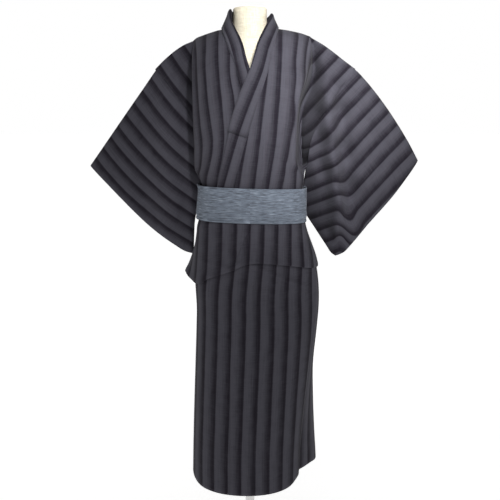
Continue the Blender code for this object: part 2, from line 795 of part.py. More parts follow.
def cover_rows():
    """The short cover folded over the collar's free edge."""
    stations = collar_stations()
    lift = COLLAR_CLOTH / 2 + CLOTH / 2 + COVER_GAP
    round_edge = ((1.0, 1.0), (1.035, 0.7), (1.05, 0.0), (1.035, -0.7), (1.0, -1.0))
    section = [(0.02, 1.0), (0.33, 1.0), (0.67, 1.0), *round_edge, (0.67, -1.0), (0.33, -1.0), (0.02, -1.0)]
    return [[collar_point(stations, along, across, rise * lift) for across, rise in section]
            for along in collar_places()[COVER_FIRST_ROW:-COVER_FIRST_ROW]]


def sleeve_rows(side, shares):
    """Rings of the flat sleeve at these shares of its width, from the seam to the cuff."""
    rows = []
    for across in shares:
        front = [arm_point(side, -1, across, drop) for drop in SLEEVE_DROPS]
        back = [arm_point(side, 1, across, drop) for drop in SLEEVE_DROPS]
        lowest = arm_point(side, 1, across, SLEEVE_LENGTH)
        ring = front + [lowest] + list(reversed(back))[:-1] + [front[0].copy()]
        ring = [round_corner(side, across, point) for point in ring]
        for point in ring:
            point.x += side * SEAM_GAP * 3
        rows.append(ring)
    return rows


def round_corner(side, across, point):
    """The sleeve's lower outer corner is cut round."""
    low = read(CUFF_RIGHT if side > 0 else CUFF_LEFT, SLEEVE_LENGTH, "z")
    reach = 0.020
    if across > 0.9 and point.z < low + reach:
        point.z += (low + reach - point.z) * 0.55
    return point


def sash_out(place, level):
    """The sash's distance from the ring, clear of the cloth under it."""
    apart = read(LAYERS, level, "apart")
    slope = ease((place + 0.20) / 0.36)
    if place < -0.24:
        slope = ease((-0.24 - place) / 0.16)
    return apart * (1 - slope) + TUCK_LAYER * 2 + SASH_CLEARANCE


def sash_rows():
    rows = []
    steps = 56
    for share in (0.0, 0.06, 0.35, 0.65, 0.94, 1.0):
        row = []
        for i in range(steps + 1):
            level = SASH_BOTTOM + (SASH_TOP - SASH_BOTTOM) * share
            total = ring_length(level)
            place = signed(level, total * (i % steps) / steps)
            bulge = 0.0012 * math.sin(math.pi * share)
            point = ring_at(level, place, sash_out(place, level) + bulge)
            point.z -= 0.030 * point.x
            row.append(point)
        rows.append(row)
    return rows


def sash_knot(material):
    """Flat tied knot against the back of the sash, with one end standing up."""
    grid = bmesh.new()
    bmesh.ops.create_cube(grid, size=2.0)
    bmesh.ops.subdivide_edges(grid, edges=grid.edges, cuts=4, use_grid_fill=True)
    middle = (SASH_TOP + SASH_BOTTOM) / 2
    for vertex in grid.verts:
        across, deep, up = vertex.co
        soft = 1 - 0.25 * abs(across) ** 4 * (1 - abs(deep)) - 0.10 * abs(up) ** 6
        level = middle + up * KNOT_HALF_HEIGHT * (1 - 0.18 * across * across)
        place = ring_length(middle) / 2 - across * KNOT_HALF_WIDTH * (1 - 0.06 * up * up)
        start = sash_out(0.4, middle) + SASH_CLOTH / 2 + KNOT_GAP
        end = start + KNOT_DEPTH * soft
        out = start + (end - start) * (deep + 1) / 2
        point = ring_at(middle, place, out)
        vertex.co = Vector((point.x, point.y, level + STAND_LIFT + KNOT_TILT * across))
    bmesh.ops.recalc_face_normals(grid, faces=grid.faces)
    return add_mesh("obi_knot", grid, material)


def dress_form(material):
    """Smooth padded torso and neck with no limbs."""
    grid = bmesh.new()
    bmesh.ops.create_grid(grid, x_segments=FORM_SIDES, y_segments=len(FORM_RINGS) - 1, size=1.0)
    for vertex in grid.verts:
        ring = FORM_RINGS[round((vertex.co.y + 1) / 2 * (len(FORM_RINGS) - 1))]
        angle = 2 * math.pi * (round((vertex.co.x + 1) / 2 * FORM_SIDES) % FORM_SIDES) / FORM_SIDES
        x = ring["wide"] * math.sin(angle)
        y = ring["y"] - ring["deep"] * math.cos(angle)
        vertex.co = Vector((x, y, ring["z"] + STAND_LIFT))
    bmesh.ops.remove_doubles(grid, verts=grid.verts, dist=0.00005)
    bmesh.ops.holes_fill(grid, edges=[edge for edge in grid.edges if edge.is_boundary])
    bmesh.ops.recalc_face_normals(grid, faces=grid.faces)
    return add_mesh("dress_form", grid, material)


def pole(material):
    top = FORM_RINGS[0]["z"] + STAND_LIFT - POLE_SOCKET
    bottom = BASE_HEIGHT + POLE_SOCKET
    grid = bmesh.new()
    bmesh.ops.create_cone(grid, cap_ends=True, segments=24, radius1=POLE_RADIUS, radius2=POLE_RADIUS,
                          depth=top - bottom)
    bmesh.ops.translate(grid, verts=grid.verts, vec=(0, 0, (top + bottom) / 2))
    return add_mesh("stand_pole", grid, material)


def base(material):
    grid = bmesh.new()
    bmesh.ops.create_cone(grid, cap_ends=True, segments=48, radius1=BASE_RADIUS, radius2=BASE_RADIUS,
                          depth=BASE_HEIGHT)
    bmesh.ops.translate(grid, verts=grid.verts, vec=(0, 0, BASE_HEIGHT / 2))
    item = add_mesh("stand_base", grid, material)
    bevel = item.modifiers.new("Edge", "BEVEL")
    bevel.width = BASE_BEVEL
    bevel.segments = 2
    bevel.limit_method = "ANGLE"
    return item


def build():
    clear_scene()
    cotton = make_material("striped_cotton", (0.075, 0.075, 0.095), 0.9)
    sash = make_material("sash_cloth", (0.16, 0.19, 0.24), 0.85)
    linen = make_material("cream_linen", (0.80, 0.72, 0.55), 0.9)
    steel = make_material("painted_steel", (0.75, 0.75, 0.74), 0.5)
    sheet("body_right", body_rows(-1), cotton)
    sheet("body_left", body_rows(1), cotton)
    sheet("skirt_right", skirt_rows(-1), cotton)
    sheet("skirt_left", skirt_rows(1), cotton)
    sheet("okumi_right", okumi_rows(-1), cotton)
    sheet("okumi_left", okumi_rows(1), cotton)
    sheet("sleeve_right", sleeve_rows(-1, SLEEVE_SHARES), cotton, closed=True)
    sheet("sleeve_left", sleeve_rows(1, LEFT_INNER_SHARES), cotton, closed=True)
    sheet("sleeve_left_end", sleeve_rows(1, LEFT_END_SHARES), cotton, closed=True)
    sheet("collar", collar_rows(), cotton, COLLAR_CLOTH)
    sheet("collar_cover", cover_rows(), cotton)
    sheet("obi_wrap", sash_rows(), sash, SASH_CLOTH, closed=True)
    sash_knot(sash)
    dress_form(linen)
    pole(steel)
    base(steel)


build()
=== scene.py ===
"""Striped cotton yukata robe with its sash on a dress form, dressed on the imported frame."""
import math
from bisect import bisect_right
from functools import cache

import bmesh
import bpy
import numpy as np
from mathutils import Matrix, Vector


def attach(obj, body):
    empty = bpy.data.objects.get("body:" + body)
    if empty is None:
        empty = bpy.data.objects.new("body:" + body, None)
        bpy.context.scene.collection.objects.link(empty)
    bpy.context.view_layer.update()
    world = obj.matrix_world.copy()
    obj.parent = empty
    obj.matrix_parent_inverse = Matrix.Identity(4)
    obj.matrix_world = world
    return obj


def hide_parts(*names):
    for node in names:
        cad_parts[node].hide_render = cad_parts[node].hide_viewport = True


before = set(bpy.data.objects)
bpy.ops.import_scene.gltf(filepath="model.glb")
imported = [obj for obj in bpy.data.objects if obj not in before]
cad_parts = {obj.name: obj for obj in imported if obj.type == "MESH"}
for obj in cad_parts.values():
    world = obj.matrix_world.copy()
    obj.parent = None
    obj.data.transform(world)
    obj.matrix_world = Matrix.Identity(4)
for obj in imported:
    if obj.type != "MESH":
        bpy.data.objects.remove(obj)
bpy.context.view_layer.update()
scene = bpy.context.scene

# Studio. A plain pale floor and a bright low horizon, as in a shop photograph.
# One large soft lamp hangs above the front and lights the shoulders most.
CAMERA_PLACE = (0.0, -2.5, 1.31)
CAMERA_PITCH = 9.0
CAMERA_LENS = 59.04
LAMP_PLACE = Vector((0.55, -1.70, 2.35))
LAMP_AIM = Vector((0.20, 0.0, 1.38))


def linear(code):
    """Linear colour of an sRGB hex value."""
    parts = [int(code[i:i + 2], 16) / 255 for i in (1, 3, 5)]
    return tuple(p / 12.92 if p <= 0.04045 else ((p + 0.055) / 1.055) ** 2.4 for p in parts) + (1.0,)


def add_node(tree, kind, inputs, **settings):
    """Node with its settings; an input given as a node and a socket becomes a link."""
    item = tree.nodes.new("ShaderNode" + kind)
    for key, value in settings.items():
        setattr(item, key, value)
    for key, value in inputs.items():
        if isinstance(value, tuple) and isinstance(value[0], bpy.types.Node):
            tree.links.new(value[0].outputs[value[1]], item.inputs[key])
        else:
            item.inputs[key].default_value = value
    return item


def new_material(name):
    """Material with its node tree and its shader."""
    material = bpy.data.materials.new(name)
    material.use_nodes = True
    return material, material.node_tree, material.node_tree.nodes["Principled BSDF"]


def set_ramp(ramp, stops):
    """Stops of a colour ramp as place and value, which is a grey or an sRGB hex colour."""
    points = ramp.color_ramp.elements
    while len(points) < len(stops):
        points.new(0.5)
    for point, (place, value) in zip(points, stops):
        point.position = place
        point.color = linear(value) if isinstance(value, str) else (value, value, value, 1.0)


def add_object(name, shape, material):
    """Object at the origin from a bmesh."""
    mesh = bpy.data.meshes.new(name)
    shape.to_mesh(mesh)
    shape.free()
    mesh.shade_smooth()
    mesh.materials.append(material)
    item = bpy.data.objects.new(name, mesh)
    scene.collection.objects.link(item)
    return item


paper, tree, shader = new_material("white_floor_paint")
shader.inputs["Base Color"].default_value = linear("#FCFCFB")
shader.inputs["Roughness"].default_value = 0.9
shader.inputs["Emission Color"].default_value = linear("#FFFFFF")
shader.inputs["Emission Strength"].default_value = 0.66
shape = bmesh.new()
bmesh.ops.create_circle(shape, cap_ends=True, segments=64, radius=80.0)
floor = add_object("studio_floor", shape, paper)

world = bpy.data.worlds.new("studio_sky")
world.use_nodes = True
scene.world = world
tree = world.node_tree
sky = tree.nodes["Background"]
place = add_node(tree, "TexCoord", {})
height = add_node(tree, "SeparateXYZ", {"Vector": (place, "Generated")})
bright = add_node(tree, "ValToRGB", {"Fac": (height, "Z")})
set_ramp(bright, [(0.0, 1.0), (0.24, 1.0), (0.42, 0.30), (1.0, 0.30)])
tree.links.new(bright.outputs["Color"], sky.inputs["Color"])
sky.inputs["Strength"].default_value = 1.0

lamp_data = bpy.data.lights.new("softbox", "AREA")
lamp_data.shape = "SQUARE"
lamp_data.size = 0.5
lamp_data.energy = 2.5
lamp_data.spread = math.radians(22)
lamp_data.color = (0.985, 0.985, 1.0)
lamp = bpy.data.objects.new("softbox", lamp_data)
lamp.location = LAMP_PLACE
lamp.rotation_euler = (LAMP_AIM - LAMP_PLACE).to_track_quat("-Z", "Y").to_euler()
scene.collection.objects.link(lamp)

camera_data = bpy.data.cameras.new("front")
camera_data.lens = CAMERA_LENS
camera_data.sensor_width = 36.0
camera = bpy.data.objects.new("front", camera_data)
camera.location = CAMERA_PLACE
camera.rotation_euler = (math.radians(90 - CAMERA_PITCH), 0, 0)
scene.collection.objects.link(camera)
scene.camera = camera
scene.view_settings.view_transform = "Standard"


# Stand: a round plate and a tube of steel, powder-coated white.
# The coat gives a soft gloss and a very fine orange-peel grain.
COAT_GRAIN = 0.002
coat, tree, shader = new_material("powder_coated_steel")
place = add_node(tree, "TexCoord", {})
speckle = add_node(tree, "TexNoise", {"Vector": (place, "Object"), "Scale": 1 / COAT_GRAIN, "Detail": 3.0})
tint = add_node(tree, "Mix", {0: (speckle, "Fac"), 6: linear("#F3F3F1"), 7: linear("#FAFAF8")},
                data_type="RGBA")
grain = add_node(tree, "Bump", {"Height": (speckle, "Fac"), "Distance": 0.0002, "Strength": 0.4})
tree.links.new(tint.outputs[2], shader.inputs["Base Color"])
tree.links.new(grain.outputs["Normal"], shader.inputs["Normal"])
shader.inputs["Roughness"].default_value = 0.45
shader.inputs["IOR"].default_value = 1.5
for name in ("stand_pole", "stand_base"):
    steel_part = bpy.data.objects[name]
    steel_part.data.materials.clear()
    steel_part.data.materials.append(coat)


# Dress form: a padded torso and neck with no limbs, covered in cream linen.
# The cloth is a plain weave, pulled tight, with thicker threads here and there.
# Its threads are drawn as clusters of about eleven, because one is too fine to show.
THREAD = 0.0016
CLUSTER = THREAD / 0.09
linen, tree, shader = new_material("cream_linen_plain_weave")
place = add_node(tree, "TexCoord", {})
across = add_node(tree, "Mapping", {"Vector": (place, "Object"), "Scale": (1.0, 1.0, 9.0)})
slub = add_node(tree, "TexNoise", {"Vector": (across, "Vector"), "Scale": 1 / CLUSTER, "Detail": 4.0})
upward = add_node(tree, "Mapping", {"Vector": (place, "Object"), "Scale": (9.0, 9.0, 1.0)})
warp = add_node(tree, "TexNoise", {"Vector": (upward, "Vector"), "Scale": 1 / CLUSTER, "Detail": 4.0})
weave = add_node(tree, "Math", {0: (slub, "Fac"), 1: (warp, "Fac")}, operation="ADD")
tone = add_node(tree, "MapRange", {"Value": (weave, "Value"), "From Min": 0.7, "From Max": 1.3})
tint = add_node(tree, "Mix", {0: (tone, "Result"), 6: linear("#CCC3AC"), 7: linear("#EBE3CF")},
                data_type="RGBA")
thread = add_node(tree, "Bump", {"Height": (weave, "Value"), "Distance": 0.0006, "Strength": 0.5})
tree.links.new(tint.outputs[2], shader.inputs["Base Color"])
tree.links.new(thread.outputs["Normal"], shader.inputs["Normal"])
shader.inputs["Roughness"].default_value = 0.9
shader.inputs["Specular IOR Level"].default_value = 0.25
form = bpy.data.objects["dress_form"]
form.data.materials.clear()
form.data.materials.append(linen)


# Striped cotton: a matte plain weave, dyed in the yarn, with stripes that run along the cloth.
# Each stripe starts light at a sharp edge, fades, and ends in a dark line.
# The first number of the cloth's own map counts stripes, the second is metres along the yarn.
STRIPE = 0.0415
YARN = 0.0034
cotton, tree, shader = new_material("yarn_dyed_cotton")
cloth_map = add_node(tree, "UVMap", {}, uv_map="cloth")
parts = add_node(tree, "SeparateXYZ", {"Vector": (cloth_map, "UV")})
in_stripe = add_node(tree, "Math", {0: (parts, "X")}, operation="FRACT")
stripe = add_node(tree, "ValToRGB", {"Fac": (in_stripe, "Value")})
set_ramp(stripe, [(0.0, 0.0), (0.07, 0.02), (0.15, 0.92), (0.28, 1.0), (0.50, 0.88), (0.72, 0.50),
                  (0.88, 0.16), (1.0, 0.0)])
# Single yarns are finer than the eye sees here, so thick and thin ones are drawn 3.4 mm wide.
# Long yarns, cross yarns and soft clouds of dye: stretch, detail, roughness and strength of each
noises = []
uneven = None
for stretch, detail, rough, strength in (((STRIPE / YARN, 9.0, 1.0), 4.0, 0.65, 0.80),
                                         ((1.2, 1 / YARN, 1.0), 3.0, 0.5, 0.44),
                                         ((1.6, 30.0, 1.0), 2.0, 0.5, 0.42)):
    drawn = add_node(tree, "Mapping", {"Vector": (cloth_map, "UV"), "Scale": stretch})
    noise = add_node(tree, "TexNoise", {"Vector": (drawn, "Vector"), "Scale": 1.0, "Detail": detail,
                                        "Roughness": rough})
    part = add_node(tree, "Math", {0: (noise, "Fac"), 1: strength, 2: -strength / 2},
                    operation="MULTIPLY_ADD")
    if uneven:
        part = add_node(tree, "Math", {0: (uneven, "Value"), 1: (part, "Value")}, operation="ADD")
    uneven = part
    noises.append(noise)
level = add_node(tree, "Math", {0: (stripe, "Color"), 1: (uneven, "Value")}, operation="ADD", use_clamp=True)
tint = add_node(tree, "Mix", {0: (level, "Value"), 6: linear("#1A171E"), 7: linear("#414047")},
                data_type="RGBA")
tree.links.new(tint.outputs[2], shader.inputs["Base Color"])
ribs = add_node(tree, "Math", {0: (noises[0], "Fac"), 1: (noises[1], "Fac")}, operation="ADD")
rib_bump = add_node(tree, "Bump", {"Height": (ribs, "Value"), "Distance": 0.0004, "Strength": 0.35})
tree.links.new(rib_bump.outputs["Normal"], shader.inputs["Normal"])
shader.inputs["Roughness"].default_value = 0.92
shader.inputs["Specular IOR Level"].default_value = 0.12
shader.inputs["Sheen Weight"].default_value = 0.03
shader.inputs["Sheen Roughness"].default_value = 0.5

# Body panels: one length of cloth on each side runs from the front hem over the shoulder to the
# back hem. The extra length is taken up in a fold under the sash, and both meet at the back seam.
# Lengths are metres. A seam gap below zero laps one cloth over the next.
LIFT = 0.100
CLOTH = 0.0012
WELD = 0.00005
SEAM_GAP = -0.0010
SEAM_TUCK = 0.0045
NECK_SIDE = 0.06
SHOULDER_FALL = 0.05
SHOULDER_BULGE = 0.6
WING_RISE = 0.5
KNEE_DROP = 0.004
HOLLOW_DROP = 0.010
BACK_KNEE = 0.16
BACK_HOLLOW = 0.34
SLEEVE_SWELL = 0.010
SLEEVE_BULGE = dict(rise=0.023, power=0.7, drop=0.16)
TOP_ROUND = 0.030
LOW_ROUND = 0.012
ROUNDNESS = 2.6
RING_STEPS = 144
TUCK_TOP = 0.899
TUCK_START = 0.004
TUCK_LAYER = 0.0030
TUCK_HANG = dict(out=0.0065, middle=-0.03, half=0.17, fade=0.08)
TUCK_CORNER = dict(out=0.025, place=-0.235, wide=0.028)
TUCK_FADE = ((0.925, 1.7), (0.960, 0.8), (0.995, 0.0), (1.045, 0.0))
LAP_START = -0.20
LAP_LENGTH = 0.36
BACK_LAP_START = -0.24
BACK_LAP_LENGTH = 0.16
SHOULDER_ROUND = 0.095
SLEEVE_LENGTH = 0.460
ARM_FOLD_START = 0.196
ARM_FOLD_FADE = 0.016
BACK_FOLD_SHARE = 0.5
CHEST_COLUMNS = 6
PANEL_COLUMNS = 12
COLUMN_SHARES = (0.0, 0.12, 0.24, 0.36, 0.48, 0.59, 0.69, 0.77, 0.84, 0.89, 0.93, 0.965, 1.0)
SKIRT_SHARES = (0, 0.05, 0.12, 0.28, 0.45, 0.60, 0.68, 0.73, 0.76, 0.78, 0.80, 0.82, 0.84, 0.86, 0.88, 0.91)
FOLD_DOWN_SHARES = (0.05, 0.40, 0.75, 0.96)
FOLD_UP_SHARES = (0.96, 0.88, 0.78, 0.66, 0.54, 0.42, 0.30, 0.16, 0.02)
FRONT_DROPS = (0.38, 0.32, 0.26, 0.20, 0.14, 0.09, 0.05, 0.02, 0.0)
BACK_DROPS = (0.06, 0.10, 0.16, 0.23, 0.30, 0.38)


def thousandths(value):
    """A number or each number of a tuple divided by 1000; text stays as it is."""
    if isinstance(value, tuple):
        return tuple(thousandths(part) for part in value)
    return value if isinstance(value, str) else value / 1000


def table(columns, *rows):
    """Rows under named columns, given in millimetres and in thousandths of a share."""
    return [dict(zip(columns.split(), row)) for row in thousandths(rows)]


RINGS = table(
    "z left right front back",
    (80, 177, 160, 146, 130), (250, 173, 169, 143, 128), (450, 166, 192, 138, 126),
    (650, 158, 213, 131, 124), (780, 155, 202, 122, 120), (900, 142, 163, 108, 106),
    (980, 138, 160, 106, 102), (1010, 141, 161, 107, 102), (1030, 155, 165, 108, 102),
    (1120, 164, 157, 114, 106), (1250, 166, 172, 116, 106), (1500, 168, 178, 114, 100))
LAYERS = table(
    "z apart",
    (80, 5.5), (620, 6), (720, 11.6), (940, 11.6), (1000, 8), (1500, 7))
SEAMS = table(
    "z side_left side_right tip_left tip_right",
    (80, -262, 188, -62, 15), (450, -260, 205, -60, 15), (780, -250, 225, -50, 10),
    (920, -238, 235, 10, -20), (1020, -235, 236, 36, -40), (1100, -235, 236, 40, -41))
HEM = table(
    "s z",
    (-530, 125), (-300, 122), (-220, 108), (-140, 88), (0, 78), (120, 90), (180, 112), (300, 128),
    (530, 125))
TUCK_EDGE = table(
    "s z",
    (-530, 770), (-300, 765), (-235, 748), (-190, 730), (-150, 727), (-110, 750), (-40, 778), (0, 795),
    (100, 788), (220, 770), (530, 770))
SKIRT_FOLDS = table(
    "name s wide out low high",
    ("right_flare", 285, 50, 58, 50, 560), ("right_crease", 205, 14, -10, 50, 500),
    ("back_right", 400, 40, 12, 50, 660), ("back_left", -400, 40, 10, 50, 660),
    ("left_side", -300, 30, 8, 50, 600))
CHEST_EDGE = table(
    "z left right",
    (1000, 35, -39), (1200, 44, -41), (1353, 53.5, -38.5), (1400, 65.5, -60), (1440, 76.5, -74.5),
    (1475, 84, -84))
SHOULDERS = table(
    "x z",
    (-290, 1355), (-244, 1404), (-214, 1427), (-190, 1439), (-154, 1452), (-130, 1461), (-84, 1474),
    (0, 1480), (84, 1476), (157, 1462), (181, 1451), (205, 1439), (241, 1416), (271, 1393), (320, 1350))
SIDE_TURN = {-1: table(
    "drop edge knee knee_y hollow hollow_y",
    (0, -156, -163, 4, -170, 6), (40, -158, -169, -30, -162, 18), (120, -159, -170, -40, -160, 34),
    (220, -157, -169, -36, -162, 38), (380, -154, -166, -26, -164, 34)),
    1: table(
    "drop edge knee knee_y hollow hollow_y",
    (0, 168, 178, -2, 186, -2), (40, 168, 180, -30, 190, 8), (120, 162, 172, -16, 190, 34),
    (200, 143, 147, -8, 162, 48), (260, 137, 141, -6, 156, 50), (380, 137, 142, 0, 160, 42))}
SLEEVE_SEAM = {-1: table(
    "drop x y z half",
    (0, -283, 12, 1360, 13), (100, -222, 38, 1283, 15), (200, -176, 46, 1207, 16),
    (300, -162, 46, 1135, 15), (380, -150, 50, 1073, 12), (420, -146, 51, 1028, 9),
    (460, -173, 52, 985, 5)),
    1: table(
    "drop x y z half",
    (0, 313, 0, 1360, 19), (100, 260, 0, 1286, 25), (200, 214, 4, 1215, 27), (300, 186, 12, 1150, 22),
    (380, 178, 16, 1092, 15), (460, 161, 76, 945, 5))}
SLEEVE_CUFF = {-1: table(
    "drop x y z half",
    (0, -493, 30, 1072, 12), (140, -392, 34, 963, 14), (250, -322, 38, 890, 6), (340, -258, 42, 838, 2.2),
    (460, -181, 46, 785, 2.2)),
    1: table(
    "drop x y z half",
    (0, 512, 4, 1090, 20), (120, 442, 2, 990, 22), (250, 362, 2, 892, 10), (360, 306, 4, 820, 2.2),
    (460, 268, 10, 784, 2.2))}
ARM_FOLDS = table(
    "name top middle low wide out",
    ("right_ridge", (196, 1440), (236, 1256), (277, 900), 20, 38),
    ("right_valley", (262, 1280), (282, 1110), (309, 930), 16, -24),
    ("left_ridge", (-225, 1330), (-250, 1120), (-250, 880), 34, 12),
    ("left_valley", (-300, 1290), (-330, 1100), (-320, 930), 24, -8))
BACK_NECK = table(
    "drop x",
    (0, 86), (4, 84.5), (9, 79), (16, 68), (24, 55), (31, 34), (37, 0.5))
# Where the dark lines lie: distance of line 0 and spacing on the skirt, then lines on each front
SKIRT_LINES = table(
    "z start apart",
    (190, -30, 42.5), (381, -23, 42.5), (595, -15.4, 42.4), (686, -14.2, 41.5), (805, -4.6, 40.4),
    (900, -1.2, 40.4))
FRONT_LINES = {1: table(
    "z -1 0 1 2 3",
    (1000, -37, 8, 49, 87, 137), (1080, -25, 16.5, 61.5, 101, 148), (1160, -9, 26, 72.2, 115, 157),
    (1250, 3, 35.5, 77.7, 128.5, 161.5), (1310, 5, 44.5, 83, 131.5, 163), (1375, 9, 50, 84.6, 134.5, 178),
    (1455, 10, 52, 88, 143, 187)),
    -1: table(
    "z -4 -3 -2 -1 0",
    (1020, -164, -133.5, -99.9, -73.2, -30), (1139, -138, -110.6, -78.2, -49.2, -12),
    (1253, -160, -124.5, -83.4, -45.9, -15), (1352, -170, -132.6, -91.5, -59.9, -35.6),
    (1423, -166, -130, -94.4, -57, -20))}
# Stripe number beside the chest and on the sleeves: shares of 1, z, zz, x, xz and xx in the front view
ARM_LINES = {-1: (-1.13, 17.83, -9.48, 11.72, 5.81, -11.09), 1: (0.95, -13.92, -2.16, 19.93, -3.98, -4.88)}
INNER_ARM_LINES = (2.65, -21.61, 0.0, 11.10, 0.0, 0.0)
ARM_LEVEL = 1.15
RIDGE_PLACE = 0.252
RIDGE_LEAN = 0.125
RIDGE_WIDTH = 0.014
INNER_TOP = 1.10
INNER_FADE = 0.10
WING_SHIFT = {-1: -5, 1: 3}
CHEST_REACH = 0.125
SASH_LEVEL = 0.94


def curve(low, high, start, end, part):
    """Value on the way from low to high with the slopes start and end."""
    square = part * part
    cube = square * part
    return (low * (2 * cube - 3 * square + 1) + start * (cube - 2 * square + part)
            + high * (3 * square - 2 * cube) + end * (cube - square))


def read(rows, at, column):
    """Smooth value of one column where the table's first column has the value at."""
    key = next(iter(rows[0]))
    last = len(rows) - 1
    if at <= rows[0][key]:
        return rows[0][column]
    if at >= rows[last][key]:
        return rows[last][column]
    i = max(i for i in range(last) if rows[i][key] <= at)
    low, high = rows[i], rows[i + 1]
    span = high[key] - low[key]
    start = end = high[column] - low[column]
    if i > 0:
        before = rows[i - 1]
        start = span * (high[column] - before[column]) / (high[key] - before[key])
    if i + 1 < last:
        after = rows[i + 2]
        end = span * (after[column] - low[column]) / (after[key] - low[key])
    return curve(low[column], high[column], start, end, (at - low[key]) / span)


def walked(points):
    """Distance along a line of points at each of them."""
    distances = [0.0]
    for before, after in zip(points, points[1:]):
        distances.append(distances[-1] + (after - before).length)
    return distances


def ease(value):
    """Soft step from 0 to 1."""
    value = min(1.0, max(0.0, value))
    return value * value * (3 - 2 * value)


def fold_out(z, distance, total):
    """How far the skirt's folds push the ring out at this place."""
    push = 0.0
    for fold in SKIRT_FOLDS:
        if z >= fold["high"]:
            continue
        gap = abs(distance - fold["s"] % total)
        gap = min(gap, total - gap)
        strength = ease((fold["high"] - z) / (fold["high"] - fold["low"]))
        push += fold["out"] * strength * math.exp(-((gap / fold["wide"]) ** 2))
    return push


@cache
def ring_line(level):
    """Points round the ring at a level, their outward directions and distances."""
    plain = []
    for i in range(RING_STEPS + 1):
        angle = 2 * math.pi * i / RING_STEPS
        across = math.sin(angle)
        along = math.cos(angle)
        half_x = read(RINGS, level, "right" if across > 0 else "left")
        half_y = read(RINGS, level, "front" if along > 0 else "back")
        x = half_x * math.copysign(abs(across) ** (2 / ROUNDNESS), across)
        y = -half_y * math.copysign(abs(along) ** (2 / ROUNDNESS), along)
        plain.append(Vector((x, y)))
    pushed = push_ring(plain, level)
    return pushed, ring_normals(pushed), walked(pushed)


def ring_normals(points):
    normals = []
    for i in range(RING_STEPS + 1):
        ahead = points[(i + 1) % RING_STEPS]
        behind = points[(i - 1) % RING_STEPS]
        tangent = ahead - behind
        normals.append(Vector((tangent.y, -tangent.x)).normalized())
    return normals


def push_ring(points, level):
    distances = walked(points)
    total = distances[-1]
    return [point + normal * fold_out(level, distance % total, total)
            for point, normal, distance in zip(points, ring_normals(points), distances)]


def ring_at(z, distance, out=0.0):
    """Point on the ring at a level, a distance from the front's middle, moved out."""
    points, normals, distances = ring_line(round(z, 4))
    distance = distance % distances[-1]
    i = min(bisect_right(distances, distance) - 1, RING_STEPS - 1)
    part = (distance - distances[i]) / (distances[i + 1] - distances[i])
    flat = points[i].lerp(points[i + 1], part)
    flat += normals[i].lerp(normals[i + 1], part).normalized() * out
    return Vector((flat.x, flat.y, z))


def ring_length(z):
    return ring_line(round(z, 4))[2][-1]


def signed(z, distance):
    """The same place counted from the front's middle, negative on the view's left."""
    total = ring_length(z)
    distance = distance % total
    return distance - total if distance > total / 2 else distance


def layer_out(side, z, place):
    """How far a front lies from the ring: outer front over inner front."""
    slope = ease((place - LAP_START) / LAP_LENGTH)
    apart = read(LAYERS, z, "apart")
    return apart * (1 - slope) if side > 0 else -apart * slope


# Rows of the skirt, of the fold and of the levels above it, and how many layers out each lies
LOWER_ROWS = [
    dict(part=part, share=share, out=TUCK_LAYER * layers) for part, share, layers in (
        *[("skirt", share, 0) for share in SKIRT_SHARES],
        ("level", TUCK_TOP - TUCK_START, 0), ("level", TUCK_TOP, 0.5),
        *[("fold", share, 1) for share in FOLD_DOWN_SHARES], ("fold", 1.0, 1.5),
        *[("fold", share, 2) for share in FOLD_UP_SHARES],
        *[("level", level, layers) for level, layers in TUCK_FADE])]


def row_level(row, place=0.0):
    """Level of a lower row at a place along the ring."""
    if row["part"] == "skirt":
        hem = read(HEM, place, "z")
        return hem + row["share"] * (TUCK_TOP - TUCK_START - hem)
    if row["part"] == "fold":
        edge = read(TUCK_EDGE, place, "z")
        return TUCK_TOP - row["share"] * (TUCK_TOP - edge)
    return row["share"]


def corner_flare(share, place):
    """How far the fold's front corner stands out at the view's left."""
    reach = (place - TUCK_CORNER["place"]) / TUCK_CORNER["wide"]
    return TUCK_CORNER["out"] * share ** 3 * math.exp(-(reach ** 2))


def front_hang(share, place):
    """How far the fold's lower edge hangs clear of the skirt across the front."""
    beyond = abs(place - TUCK_HANG["middle"]) - TUCK_HANG["half"]
    return TUCK_HANG["out"] * share ** 4 * (1 - ease(beyond / TUCK_HANG["fade"]))


def lower_point(side, row, place, layered):
    """Point of a lower row; layered is true on the fronts."""
    level = row_level(row, place)
    out = row["out"]
    if layered:
        out += layer_out(side, level, place)
    if row["part"] == "fold":
        out += front_hang(row["share"], place)
        if layered and side > 0:
            out += corner_flare(row["share"], place)
    return ring_at(level, place, out)


def chest_point(side, face, x, drop):
    """Point of the chest or back, a drop below the shoulder line at x."""
    level = read(SHOULDERS, x, "z") - drop
    half_x = read(RINGS, level, "right" if x > 0 else "left")
    half_y = read(RINGS, level, "front" if face < 0 else "back")
    start = min(drop / SHOULDER_ROUND, 1.0)
    depth = half_y * math.sqrt(1 - (1 - start) ** 2)
    depth *= (1 - min(abs(x) / half_x, 0.999) ** ROUNDNESS) ** (1 / ROUNDNESS)
    if face < 0:
        depth += layer_out(side, level, x) * start
    return Vector((x, face * depth, level))


def arm_push(x, z):
    """How far forward the arm folds bring the cloth at this place of the front view."""
    push = 0.0
    if abs(x) < ARM_FOLD_START:
        return push
    here = Vector((x, z))
    for fold in ARM_FOLDS:
        if fold["top"][0] * x < 0:
            continue
        gap = min(line_gap(here, Vector(fold["top"]), Vector(fold["middle"])),
                  line_gap(here, Vector(fold["middle"]), Vector(fold["low"])))
        push += fold["out"] * math.exp(-((gap / fold["wide"]) ** 2))
    return push * ease((abs(x) - ARM_FOLD_START) / ARM_FOLD_FADE)


def line_gap(point, start, end):
    line = end - start
    part = (point - start).dot(line) / line.length_squared
    part = min(1.0, max(0.0, part))
    return (point - start - line * part).length


